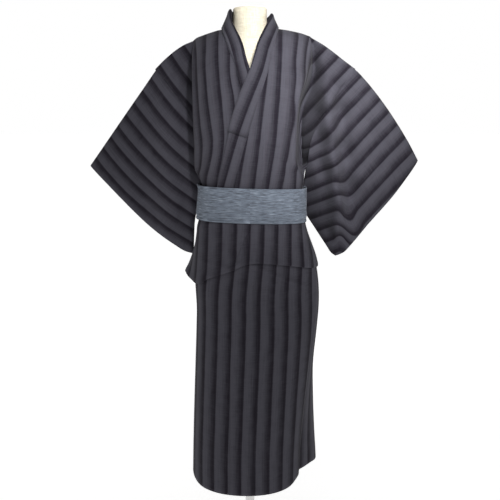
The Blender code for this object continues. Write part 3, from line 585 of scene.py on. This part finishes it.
def rounded(drop, length):
    """Share of the half gap between two layers near the top fold and the lower seam."""
    top = min(drop / TOP_ROUND, 1.0)
    low = min((length - drop) / LOW_ROUND, 1.0)
    return math.sqrt(max(0.0, 1 - (1 - top) ** 2)) * math.sqrt(max(0.0, 1 - (1 - low) ** 2))


def arm_point(side, face, across, drop):
    """Point of a sleeve's front or back layer; across is 0 at the seam and 1 at the cuff."""
    near, far = [[read(rows[side], drop, key) for key in ("x", "y", "z", "half")]
                 for rows in (SLEEVE_SEAM, SLEEVE_CUFF)]
    half = near[3] * (1 - across) + far[3] * across
    half += SLEEVE_SWELL * math.sin(math.pi * across) * math.sin(math.pi * drop / SLEEVE_LENGTH)
    half *= rounded(drop, SLEEVE_LENGTH)
    point = Vector(near[:3]).lerp(Vector(far[:3]), across)
    if side > 0:
        rise = SLEEVE_BULGE["rise"] * math.sin(math.pi * across) ** SLEEVE_BULGE["power"]
        point.z += rise * (1 - ease(drop / SLEEVE_BULGE["drop"]))
    point.y += face * half - arm_push(point.x, point.z) * (1.0 if face < 0 else BACK_FOLD_SHARE)
    return point


def chest_edge(side, level):
    return read(CHEST_EDGE, level, "left" if side > 0 else "right")


def upper_row(side, face, drop):
    """One row of a body panel from its inner edge to the sleeve seam."""
    turns = SIDE_TURN[side]
    edge_x = read(turns, drop, "edge")
    if face < 0:
        inner_x = chest_edge(side, read(SHOULDERS, side * NECK_SIDE, "z") - drop)
    else:
        inner_x = side * read(BACK_NECK, drop, "x")
    if abs(inner_x) > SEAM_TUCK * 2:
        inner_x -= side * SEAM_TUCK
    row = [chest_point(side, face, inner_x + (edge_x - inner_x) * column / CHEST_COLUMNS, drop)
           for column in range(CHEST_COLUMNS + 1)]
    seam = arm_point(side, face, 0.0, drop)
    seam.x -= side * SEAM_GAP
    level = read(SHOULDERS, edge_x, "z") - drop
    if face < 0:
        knee, hollow = [Vector((read(turns, drop, key), read(turns, drop, key + "_y"), level - lower))
                        for key, lower in (("knee", KNEE_DROP), ("hollow", HOLLOW_DROP))]
    else:
        knee = row[-1].lerp(seam, BACK_KNEE)
        hollow = row[-1].lerp(seam, BACK_HOLLOW)
    row += [knee, hollow]
    wing = PANEL_COLUMNS - CHEST_COLUMNS - 2
    for column in range(1, wing + 1):
        point = hollow.lerp(seam, column / wing)
        if column < wing:
            share = 1.0 if face < 0 else BACK_FOLD_SHARE
            point.y -= arm_push(point.x, point.z) * share * column / wing
            fall = ease(drop / SHOULDER_FALL)
            raised = SHOULDER_BULGE * (1 - fall) + fall * (1 - column / wing) * WING_RISE
            point.z += (read(SHOULDERS, point.x, "z") - drop - point.z) * raised
        row.append(point)
    return row


def body_rows(side):
    """All rows of a body panel, from the front hem over the shoulder to the back hem."""
    rows = [lower_row(side, row, front=True) for row in LOWER_ROWS]
    rows += [upper_row(side, -1, drop) for drop in FRONT_DROPS]
    rows += [upper_row(side, 1, row["drop"]) for row in BACK_NECK[1:]]
    rows += [upper_row(side, 1, drop) for drop in BACK_DROPS]
    return rows + [lower_row(side, row, front=False) for row in reversed(LOWER_ROWS)]


def side_seam(side, level):
    return read(SEAMS, level, "side_right" if side > 0 else "side_left")


def front_seam(side, level):
    """Seam between a body panel and its overlap panel, below the sash."""
    return read(SEAMS, level, "tip_left" if side > 0 else "tip_right")


def lower_row(side, row, front):
    level = row_level(row)
    outer = side_seam(side, level)
    if front:
        inner = front_seam(side, level) + side * SEAM_GAP
    else:
        inner = back_seam(level) - side * SEAM_GAP
    if not front and side < 0:
        inner -= ring_length(level)
    places = [inner + (outer - inner) * share for share in COLUMN_SHARES]
    points = [lower_point(side, row, signed(level, place), front) for place in places]
    if not front:
        points[-1] = lower_point(side, row, outer, True)
    return points


def back_seam(level):
    """The back's middle seam, halfway between the side seams."""
    return (side_seam(1, level) + ring_length(level) + side_seam(-1, level)) / 2


def line_number(lines, level, x):
    """Place across the stripes at a point of a front, from where its dark lines lie."""
    names = [name for name in lines[0] if name != "z"]
    spots = [read(lines, level, name) for name in names]
    i = min(max(bisect_right(spots, x) - 1, 0), len(spots) - 2)
    gap = spots[i + 1] - spots[i]
    if x < spots[0] or x > spots[-1]:
        gap = STRIPE
        i = 0 if x < spots[0] else len(spots) - 1
    return int(names[i]) + (x - spots[i]) / gap


def skirt_number(level, distance):
    return (distance - read(SKIRT_LINES, level, "start")) / read(SKIRT_LINES, level, "apart")


def number_arm(side, x, z):
    """Stripe place beside the chest or on a sleeve; the lower inner part is folded the other way."""
    rise = z - ARM_LEVEL
    terms = (1.0, rise, rise * rise, x, x * rise, x * x)
    number = sum(share * term for share, term in zip(ARM_LINES[side], terms))
    if side > 0:
        inner = sum(share * term for share, term in zip(INNER_ARM_LINES, terms))
        beyond = x - RIDGE_PLACE + RIDGE_LEAN * rise
        below = 1 - ease((z - INNER_TOP) / INNER_FADE)
        number += (inner - number) * (1 - ease(beyond / RIDGE_WIDTH)) * below
    return number


def number_wing(side, row, numbers):
    """Stripe places beside the chest, from the hollow outwards; the hollow takes up the difference."""
    first = CHEST_COLUMNS + 2
    whole = WING_SHIFT[side]
    return numbers[:first] + [number_arm(side, point.x, point.z) + whole for point in row[first:]]


def number_front(side, row):
    """Stripe places of a chest row: by the dark lines, then by the width of the cloth."""
    lines = FRONT_LINES[side]
    numbers = []
    for i, point in enumerate(row):
        if i == 0 or abs(point.x) < CHEST_REACH:
            numbers.append(line_number(lines, point.z, point.x))
        else:
            numbers.append(numbers[-1] + side * (point - row[i - 1]).length / STRIPE)
    return numbers


def number_back(side, row, skirt):
    """Stripe places on the back, which run straight down from those at the shoulder."""
    lines = FRONT_LINES[side]
    top = lines[-1]["z"]
    if not skirt:
        return number_wing(side, row, [line_number(lines, top, point.x) for point in row])
    return [line_number(lines, top, 0.0) + side * distance / STRIPE for distance in walked(row)]


def number_body(side, rows):
    """Points of a body panel with their places across the stripes."""
    lower = len(LOWER_ROWS)
    numbered = []
    for i, row in enumerate(rows):
        level = row_level(LOWER_ROWS[i]) if i < lower else row[0].z
        if i < lower and level < SASH_LEVEL:
            inner = front_seam(side, level)
            outer = side_seam(side, level)
            numbers = [skirt_number(level, inner + (outer - inner) * share) for share in COLUMN_SHARES]
        elif i < lower + len(FRONT_DROPS):
            numbers = number_front(side, row)
            if i >= lower:
                numbers = number_wing(side, row, numbers)
        else:
            numbers = number_back(side, row, skirt=i >= len(rows) - lower)
        numbered.append([(*point, number) for point, number in zip(row, numbers)])
    return numbered


def refine(rows, along, across, rings=False):
    """Finer grid through the rows; rings is true where the last column meets the first."""
    grid = np.swapaxes(smooth_lines(np.array(rows, dtype=float), along), 0, 1)
    if rings:
        grid = smooth_lines(np.concatenate([grid[-2:-1], grid, grid[1:2]]), across)[across:-across]
    else:
        grid = smooth_lines(grid, across)
    return np.swapaxes(grid, 0, 1)


def smooth_lines(grid, steps):
    """Smooth lines down the grid's first axis with steps parts between each two rows."""
    rise = np.diff(grid, axis=0)
    apart = np.linalg.norm(rise[..., :3], axis=-1).mean(axis=1)[:, None, None] + 1e-9
    slope = rise / apart
    inner = (slope[:-1] * apart[1:] + slope[1:] * apart[:-1]) / (apart[:-1] + apart[1:])
    tangent = np.concatenate([slope[:1], inner, slope[-1:]])
    pieces = [curve(grid[i], grid[i + 1], tangent[i] * apart[i], tangent[i + 1] * apart[i], step / steps)
              for i in range(len(grid) - 1) for step in range(steps)]
    return np.array(pieces + [grid[-1]])


def press(grid, creases):
    """Moves the front layer in or out along lines of the front view."""
    place = grid[..., (0, 2)]
    front = grid[..., 1] < FRONT_LAYER_Y
    for crease in creases:
        spots = np.array(crease["line"])
        for start, end in zip(spots, spots[1:]):
            line = end - start
            part = np.clip(((place - start) @ line) / (line @ line), 0, 1)
            gap = np.linalg.norm(place - start - part[..., None] * line, axis=-1)
            fade = np.minimum(1, CREASE_FADE * np.minimum(part, 1 - part) + crease["tail"])
            grid[..., 1] -= front * fade * crease["out"] * np.exp(-(gap / crease["wide"]) ** 2)


def lengths(grid, axis=0):
    """Metres from the first row, the same for a whole row, or from the first column for axis 1."""
    steps = np.linalg.norm(np.diff(grid[..., :3], axis=axis), axis=-1).mean(axis=1 - axis)
    return np.concatenate([[0.0], np.cumsum(steps)])


def cloth(name, grid, along, thickness, material, rings=False):
    """Cloth with a wall through a grid of points; along gives each row its second map number."""
    lines = grid.shape[0] - 1
    columns = grid.shape[1] - 1
    shape = bmesh.new()
    chart = shape.loops.layers.uv.new("cloth")
    bmesh.ops.create_grid(shape, x_segments=columns, y_segments=lines, size=1.0)
    spots = {vertex: (round((vertex.co.y + 1) / 2 * lines), round((vertex.co.x + 1) / 2 * columns))
             for vertex in shape.verts}
    for face in shape.faces:
        for loop in face.loops:
            line, column = spots[loop.vert]
            metre = along[line] if np.ndim(along) == 1 else along[line, column]
            loop[chart].uv = (grid[line, column, 3], metre)
    for vertex, (line, column) in spots.items():
        vertex.co = Vector(grid[line, column, :3]) + Vector((0, 0, LIFT))
    if rings:
        bmesh.ops.remove_doubles(shape, verts=shape.verts, dist=WELD)
    item = add_object(name, shape, material)
    wall = item.modifiers.new("Wall", "SOLIDIFY")
    wall.thickness = thickness
    wall.offset = 0.0
    return item


# Creases of the two fronts: a line in the front view, how wide, how far out, and the share left at
# its ends
FRONT_LAYER_Y = 0.02
CREASE_FADE = 4
FRONT_CREASES = table(
    "line wide out tail",
    (((-150, 1400), (-158, 1060)), 12, 6, 300), (((-85, 1330), (-100, 1030)), 26, 3, 200),
    (((55, 1215), (90, 1205)), 5, 1.2, 0), (((10, 1160), (34, 1020)), 22, 2, 200),
    (((112, 1300), (100, 1030)), 26, 3, 200),
    (((3, 790), (62, 766), (115, 742), (171, 718)), 4.5, 4.5, 800),
    (((-147, 798), (-59, 780), (-26, 801)), 6, 3, 600), (((-38, 886), (3, 886)), 4, 1.5, 0),
    (((-41, 845), (3, 845)), 4, 1.5, 0), (((-139, 837), (-106, 837)), 4, 1.5, 0),
    (((165, 902), (166, 824), (187, 787)), 5, 6, 800), (((136, 1216), (93, 1187)), 8, 4, 200))
for side, name, nodes in ((-1, "right_body_panel", ("body_right", "skirt_right")),
                          (1, "left_body_panel", ("body_left", "skirt_left"))):
    panel = refine(number_body(side, body_rows(side)), 4, 4)
    press(panel, FRONT_CREASES)
    piece = cloth(name, panel, lengths(panel), CLOTH, cotton)
    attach(piece, "root")
    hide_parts(*nodes)

FREE_EDGES = table(
    "z outer inner",
    (80, -236, 168), (700, -238, 180), (900, -215, 178), (925, -140, 150), (960, -80, 80), (985, -52, 52))
COLLAR_EDGES = {1: table(
    "seam_x seam_z free_x free_z",
    (-48, 1000, -100, 1000), (-30, 1080, -80, 1092), (-7, 1165, -59, 1185), (23, 1260, -29.5, 1277),
    (53, 1353, 5, 1360)),
    -1: table(
    "seam_x seam_z free_x free_z",
    (48, 1000, 100, 1000), (34, 1080, 86, 1092), (15, 1165, 67, 1185), (-14, 1260, 31.5, 1277),
    (-39, 1353, -4.7, 1360))}
OKUMI_LEVELS = (1.095, 1.155, 1.215, 1.275, 1.320, 1.345)
OKUMI_COLUMNS = 8
OKUMI_SASH_LEVEL = 0.99


def okumi_rows(side):
    """Overlap panel from the hem up to its point at the collar."""
    rows = []
    for row in LOWER_ROWS:
        level = row_level(row)
        seam = front_seam(side, level) - side * SEAM_GAP
        if level < OKUMI_SASH_LEVEL:
            free = free_edge(side, level)
        else:
            free = collar_seam_x(side, level) - side * SEAM_TUCK
        rows.append([lower_point(side, row, place, True) for place in okumi_places(seam, free)])
    for level in OKUMI_LEVELS:
        seam = chest_edge(side, level) - side * SEAM_GAP * 2
        free = collar_seam_x(side, level) - side * SEAM_TUCK
        rows.append([chest_point(side, -1, x, read(SHOULDERS, x, "z") - level)
                     for x in okumi_places(seam, free)])
    return rows


def okumi_places(seam, free):
    return [seam + (free - seam) * i / OKUMI_COLUMNS for i in range(OKUMI_COLUMNS + 1)]


def free_edge(side, level):
    return read(FREE_EDGES, level, "outer" if side > 0 else "inner")


def collar_seam_x(side, level):
    """The collar's seam edge in the front view at a level."""
    return read([dict(z=row["seam_z"], x=row["seam_x"]) for row in COLLAR_EDGES[side]], level, "x")


def number_okumi(side, rows):
    """Points of an overlap panel with their places across the stripes."""
    lines = FRONT_LINES[side]
    numbered = []
    for i, row in enumerate(rows):
        level = row_level(LOWER_ROWS[i]) if i < len(LOWER_ROWS) else row[0].z
        if level < SASH_LEVEL:
            places = okumi_places(front_seam(side, level), free_edge(side, level))
            numbers = [skirt_number(level, place) for place in places]
        else:
            numbers = [line_number(lines, point.z, point.x) for point in row]
        numbered.append([(*point, number) for point, number in zip(row, numbers)])
    return numbered


for side, name, node in ((-1, "right_overlap_panel", "okumi_right"),
                         (1, "left_overlap_panel", "okumi_left")):
    panel = refine(number_okumi(side, okumi_rows(side)), 4, 5)
    press(panel, FRONT_CREASES)
    piece = cloth(name, panel, lengths(panel), CLOTH, cotton)
    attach(piece, "root")
    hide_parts(node)


# Sleeves: each is one length of cloth folded over at the top, as wide as the cloth, and sewn to
# the body panel. Below the hand's opening the outer edges are closed, and the corner is round.
SLEEVE_SHARES = (0.004, 0.05, 0.10, 0.16, 0.22, 0.28, 0.35, 0.42, 0.50, 0.61, 0.74, 0.87, 1.0)
SLEEVE_DROPS = (0.0, 0.006, 0.025, 0.07, 0.13, 0.19, 0.25, 0.31, 0.37, 0.42, 0.452)
CORNER_REACH = 0.020
CORNER_START = 0.9
CORNER_LIFT = 0.55


def sleeve_rows(side):
    """Rings of the flat sleeve, from the seam to the cuff."""
    rows = []
    for across in SLEEVE_SHARES:
        front = [arm_point(side, -1, across, drop) for drop in SLEEVE_DROPS]
        back = [arm_point(side, 1, across, drop) for drop in SLEEVE_DROPS]
        lowest = arm_point(side, 1, across, SLEEVE_LENGTH)
        ring = front + [lowest] + list(reversed(back))[:-1] + [front[0].copy()]
        rows.append([round_corner(side, across, point) for point in ring])
        for point in rows[-1]:
            point.x += side * SEAM_GAP * 3
    return rows


def round_corner(side, across, point):
    """The sleeve's lower outer corner is cut round."""
    round_below = read(SLEEVE_CUFF[side], SLEEVE_LENGTH, "z") + CORNER_REACH
    if across > CORNER_START and point.z < round_below:
        point.z += (round_below - point.z) * CORNER_LIFT
    return point


for side, name, nodes in ((-1, "right_sleeve_cloth", ("sleeve_right",)),
                          (1, "left_sleeve_cloth", ("sleeve_left", "sleeve_left_end"))):
    rows = [[(*point, number_arm(side, point.x, point.z)) for point in row] for row in sleeve_rows(side)]
    tube = refine(rows, 6, 6, rings=True)
    steps = np.linalg.norm(np.diff(tube[..., :3], axis=1), axis=-1)
    round_arm = np.concatenate([np.zeros((len(tube), 1)), np.cumsum(steps, axis=1)], axis=1)
    piece = cloth(name, tube, round_arm, CLOTH, cotton, rings=True)
    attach(piece, "root")
    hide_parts(*nodes)


# Collar: a long band of the same cloth, folded double, runs from one front round the neck to the
# other. It stands up at the back of the neck and lies flat on the chest, the left over the right.
COLLAR_NECK = table(
    "drop free",
    (74, (25, -92, 1430)), (26, (50, -54, 1484)), (0, (61.5, -18, 1514)), (9, (62, 26, 1518)),
    (24, (43, 54, 1506)), (37, (0, 66, 1498)))
NECK_SETBACK = 0.0022
NECK_TOP = 1.5
INNER_NECK_SHIFT = Vector((-0.005, 0, 0.011))
COLLAR_CLOTH = 0.0025
COLLAR_STEP = 0.008
BAND_SHARES = (0.0, 0.33, 0.67, 1.0)
COLLAR_FRONT_END = 4.5
COLLAR_FRONT_ROWS = 7
COLLAR_NECK_ROWS = 14


def collar_stations():
    """Seam, middle and free points of the collar from the outer front round to the inner."""
    outer, inner = [[front_station(side, row) for row in COLLAR_EDGES[side]]
                    + [neck_station(side, row) for row in COLLAR_NECK] for side in (1, -1)]
    return outer + inner[-2::-1]


def front_station(side, row):
    points = []
    for share in (0.0, 0.5, 1.0):
        x = row["seam_x"] + (row["free_x"] - row["seam_x"]) * share
        level = row["seam_z"] + (row["free_z"] - row["seam_z"]) * share
        points.append(chest_point(side, -1, x, read(SHOULDERS, x, "z") - level))
    return points


def neck_station(side, row):
    """Collar station whose seam edge is just inside the body's neckline."""
    face = -1 if row["free"][1] < 0 else 1
    if face < 0:
        edge = abs(chest_edge(side, read(SHOULDERS, side * NECK_SIDE, "z") - row["drop"]))
    else:
        edge = read(BACK_NECK, row["drop"], "x")
    seam = chest_point(side, face, side * max(edge - NECK_SETBACK, 0.0), row["drop"])
    seam.z += NECK_SETBACK
    free = Vector(row["free"])
    if side < 0 and free.z > NECK_TOP:
        free += INNER_NECK_SHIFT
    free.x *= side
    return [seam, seam.lerp(free, 0.5), free]


def spline(points, at):
    """Point on a smooth line through the points, at from 0 to 1."""
    last = len(points) - 1
    place = min(max(at, 0.0), 1.0) * last
    i = min(int(place), last - 1)
    part = place - i
    before = points[max(i - 1, 0)]
    after = points[min(i + 2, last)]
    start = (points[i + 1] - before) * 0.5
    end = (after - points[i]) * 0.5
    return curve(points[i], points[i + 1], start, end, part)


def collar_face(stations, along, across):
    """Point of the collar's middle surface: along its length, across its width."""
    seam, middle, free = [spline([station[i] for station in stations], along) for i in range(3)]
    point = seam * (1 - across) * (1 - 2 * across) + middle * 4 * across * (1 - across)
    return point + free * across * (2 * across - 1)


def collar_point(stations, along, across, lift):
    """Point of the collar lifted off its middle surface."""
    start = max(along - COLLAR_STEP, 0.0)
    end = min(along + COLLAR_STEP, 1.0)
    length = collar_face(stations, end, across) - collar_face(stations, start, across)
    width = (collar_face(stations, along, across + COLLAR_STEP)
             - collar_face(stations, along, across - COLLAR_STEP))
    return collar_face(stations, along, across) - length.cross(width).normalized() * lift


def collar_places():
    """Where the collar's rows lie along it: few on the chest, close together at the neck."""
    stations = 2 * (len(COLLAR_EDGES[1]) + len(COLLAR_NECK) - 1)
    back = stations / 2
    places = [COLLAR_FRONT_END * i / COLLAR_FRONT_ROWS for i in range(COLLAR_FRONT_ROWS)]
    step = (back - COLLAR_FRONT_END) / COLLAR_NECK_ROWS
    places += [COLLAR_FRONT_END + step * i for i in range(COLLAR_NECK_ROWS)]
    places += [back] + [stations - place for place in reversed(places)]
    return [place / stations for place in places]


# Where the dark line lies across the band, from the seam at 0 to the free edge at 1
COLLAR_LINE = table(
    "along place",
    (0, 700), (60, 580), (110, 500), (160, 420), (220, 360), (300, 280), (500, 300), (720, 300),
    (800, 120), (860, 80), (1000, 60))
BAND_WIDTH = 0.055


def number_band(rows, places, shares):
    """Points of the band with their places across the stripes."""
    return [[(*point, (read(COLLAR_LINE, place, "place") - share) * BAND_WIDTH / STRIPE)
             for point, share in zip(row, shares)] for place, row in zip(places, rows)]


stations = collar_stations()
places = collar_places()
rows = [[collar_face(stations, along, across) for across in BAND_SHARES] for along in places]
band = refine(number_band(rows, places, BAND_SHARES), 4, 4)
piece = cloth("collar_band", band, lengths(band), COLLAR_CLOTH, cotton)
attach(piece, "root")
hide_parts("collar")

# Collar cover: a shorter strip of the cloth folded over the band where it wears at the neck.
# Its ends are turned under and sewn down on the chest.
# Its section: share across the band, side of the band, and share of the band's width in the stripes.
COVER_FIRST_ROW = 3
COVER_GAP = 0.0016
COVER_SECTION = (
    (0.02, 1.0, 0.02), (0.33, 1.0, 0.33), (0.67, 1.0, 0.67), (1.0, 1.0, 1.0), (1.035, 0.7, 1.01),
    (1.05, 0.0, 1.02), (1.035, -0.7, 1.03), (1.0, -1.0, 1.04), (0.67, -1.0, 0.67), (0.33, -1.0, 0.33),
    (0.02, -1.0, 0.02))
places = places[COVER_FIRST_ROW:-COVER_FIRST_ROW]
lift = COLLAR_CLOTH / 2 + CLOTH / 2 + COVER_GAP
rows = [[collar_point(stations, along, across, rise * lift) for across, rise, share in COVER_SECTION]
        for along in places]
cover = refine(number_band(rows, places, [share for across, rise, share in COVER_SECTION]), 4, 3)
piece = cloth("collar_cover_cloth", cover, lengths(cover), CLOTH, cotton)
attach(piece, "root")
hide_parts("collar_cover")


# Sash: a flat woven belt, wound twice round the waist and pulled tight. Thick and thin yarns in
# greys and blues run along it, and make short streaks.
SASH_CLOTH = 0.0030
SASH_TOP = 1.013
SASH_BOTTOM = 0.911
SASH_CLEARANCE = 0.0042
SASH_YARN = 0.0020
SASH_STEPS = 56
SASH_SHARES = (0.0, 0.05, 0.08, 0.11, 0.35, 0.65, 0.94, 1.0)
SASH_CREASE = {0.08: -0.0014}
SASH_BULGE = 0.0012
SASH_SLOPE = 0.030
sash_weave, tree, shader = new_material("slub_woven_sash_cloth")
cloth_map = add_node(tree, "UVMap", {}, uv_map="cloth")
long_way = add_node(tree, "Mapping", {"Vector": (cloth_map, "UV"), "Scale": (38.0, 1 / SASH_YARN, 1.0)})
slub = add_node(tree, "TexNoise", {"Vector": (long_way, "Vector"), "Scale": 1.0, "Detail": 4.0,
                                             "Roughness": 0.6})
broad_way = add_node(tree, "Mapping", {"Vector": (cloth_map, "UV"), "Scale": (9.0, 190.0, 1.0)})
band_tone = add_node(tree, "TexNoise", {"Vector": (broad_way, "Vector"), "Scale": 1.0, "Detail": 2.0})
mixed = add_node(tree, "Math", {0: (band_tone, "Fac"), 1: 0.30, 2: (slub, "Fac")}, operation="MULTIPLY_ADD")
tone = add_node(tree, "MapRange", {"Value": (mixed, "Value"), "From Min": 0.36, "From Max": 0.94})
tint = add_node(tree, "ValToRGB", {"Fac": (tone, "Result")})
set_ramp(tint, [(0.0, "#30343B"), (0.35, "#4C525B"), (0.62, "#656D79"), (1.0, "#98A1AB")])
tree.links.new(tint.outputs["Color"], shader.inputs["Base Color"])
ridges = add_node(tree, "Bump", {"Height": (slub, "Fac"), "Distance": 0.0006, "Strength": 0.6})
tree.links.new(ridges.outputs["Normal"], shader.inputs["Normal"])
shader.inputs["Roughness"].default_value = 0.8
shader.inputs["Specular IOR Level"].default_value = 0.25
shader.inputs["Sheen Weight"].default_value = 0.05


def sash_out(place, level):
    """The sash's distance from the ring, clear of the cloth under it."""
    apart = read(LAYERS, level, "apart")
    slope = ease((place - LAP_START) / LAP_LENGTH)
    if place < BACK_LAP_START:
        slope = ease((BACK_LAP_START - place) / BACK_LAP_LENGTH)
    return apart * (1 - slope) + TUCK_LAYER * 2 + SASH_CLEARANCE


def sash_rows():
    """Turns of the band from its lower to its upper edge, with one crease low down."""
    rows = []
    for share in SASH_SHARES:
        level = SASH_BOTTOM + (SASH_TOP - SASH_BOTTOM) * share
        bulge = SASH_BULGE * math.sin(math.pi * share) + SASH_CREASE.get(share, 0.0)
        rows.append([])
        for i in range(SASH_STEPS + 1):
            place = signed(level, ring_length(level) * (i % SASH_STEPS) / SASH_STEPS)
            point = ring_at(level, place, sash_out(place, level) + bulge)
            point.z -= SASH_SLOPE * point.x
            rows[-1].append((*point, 0.0))
    return rows


belt = refine(sash_rows(), 5, 4, rings=True)
belt[..., 3] = lengths(belt, axis=1)
piece = cloth("sash_band", belt, lengths(belt), SASH_CLOTH, sash_weave, rings=True)
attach(piece, "root")
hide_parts("obi_wrap")


# Knot at the back: the sash's two ends are folded into flat tabs, which cross behind an upright
# turn of the band. Each tab is the same woven cloth, folded back on itself at its end.
KNOT_CLOTH = 0.0022
KNOT_HALF_WIDTH = 0.075
KNOT_HALF_HEIGHT = 0.062
KNOT_PLACE = 0.4
KNOT_CROWN = 0.0014
# Half width of each piece, and its points: across and up as shares, and how far out
KNOT_FOLDS = table(
    "name half turns",
    ("knot_lower_tab", 21, ((-450, 100, 4), (0, -120, 5), (500, -360, 5.8), (840, -520, 4.6),
                            (860, -530, 2), (800, -500, 0.5), (100, -180, 0.5))),
    ("knot_upper_tab", 22, ((550, -300, 10), (50, 20, 11.2), (-450, 340, 11.6), (-800, 580, 10),
                            (-820, 600, 7.2), (-760, 550, 6.2), (0, 40, 6.6))),
    ("knot_upright_turn", 26, ((-60, 980, 1), (-50, 800, 6), (0, 400, 14.8), (30, 0, 16.4),
                               (60, -400, 14.8), (80, -800, 6), (90, -980, 1))))


def knot_point(across, up, out):
    """Point behind the sash at shares of the knot's half width and height."""
    middle = (SASH_TOP + SASH_BOTTOM) / 2
    place = ring_length(middle) / 2 - across * KNOT_HALF_WIDTH
    point = ring_at(middle, place, sash_out(KNOT_PLACE, middle) + SASH_CLOTH + KNOT_CLOTH + out)
    point.z = middle + up * KNOT_HALF_HEIGHT
    return point


for knot_part in KNOT_FOLDS:
    name, half, turns = knot_part.values()
    way = Vector((turns[3][0] - turns[0][0], 0, turns[3][1] - turns[0][1]))
    tilt = Vector((-way.z * KNOT_HALF_HEIGHT, 0, way.x * KNOT_HALF_WIDTH)).normalized() * half
    rows = []
    for share in (-1.0, -0.5, 0.0, 0.5, 1.0):
        crown = KNOT_CROWN * (1 - share * share)
        row = [knot_point(across + share * tilt.x / KNOT_HALF_WIDTH, up + share * tilt.z / KNOT_HALF_HEIGHT,
                          out + crown) for across, up, out in turns]
        steps = walked(row)
        rows.append([(*point, step) for point, step in zip(row, steps)])
    fold = refine(rows, 4, 6)
    piece = cloth(name, fold, lengths(fold), KNOT_CLOTH, sash_weave)
    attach(piece, "root")
    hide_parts("obi_knot")
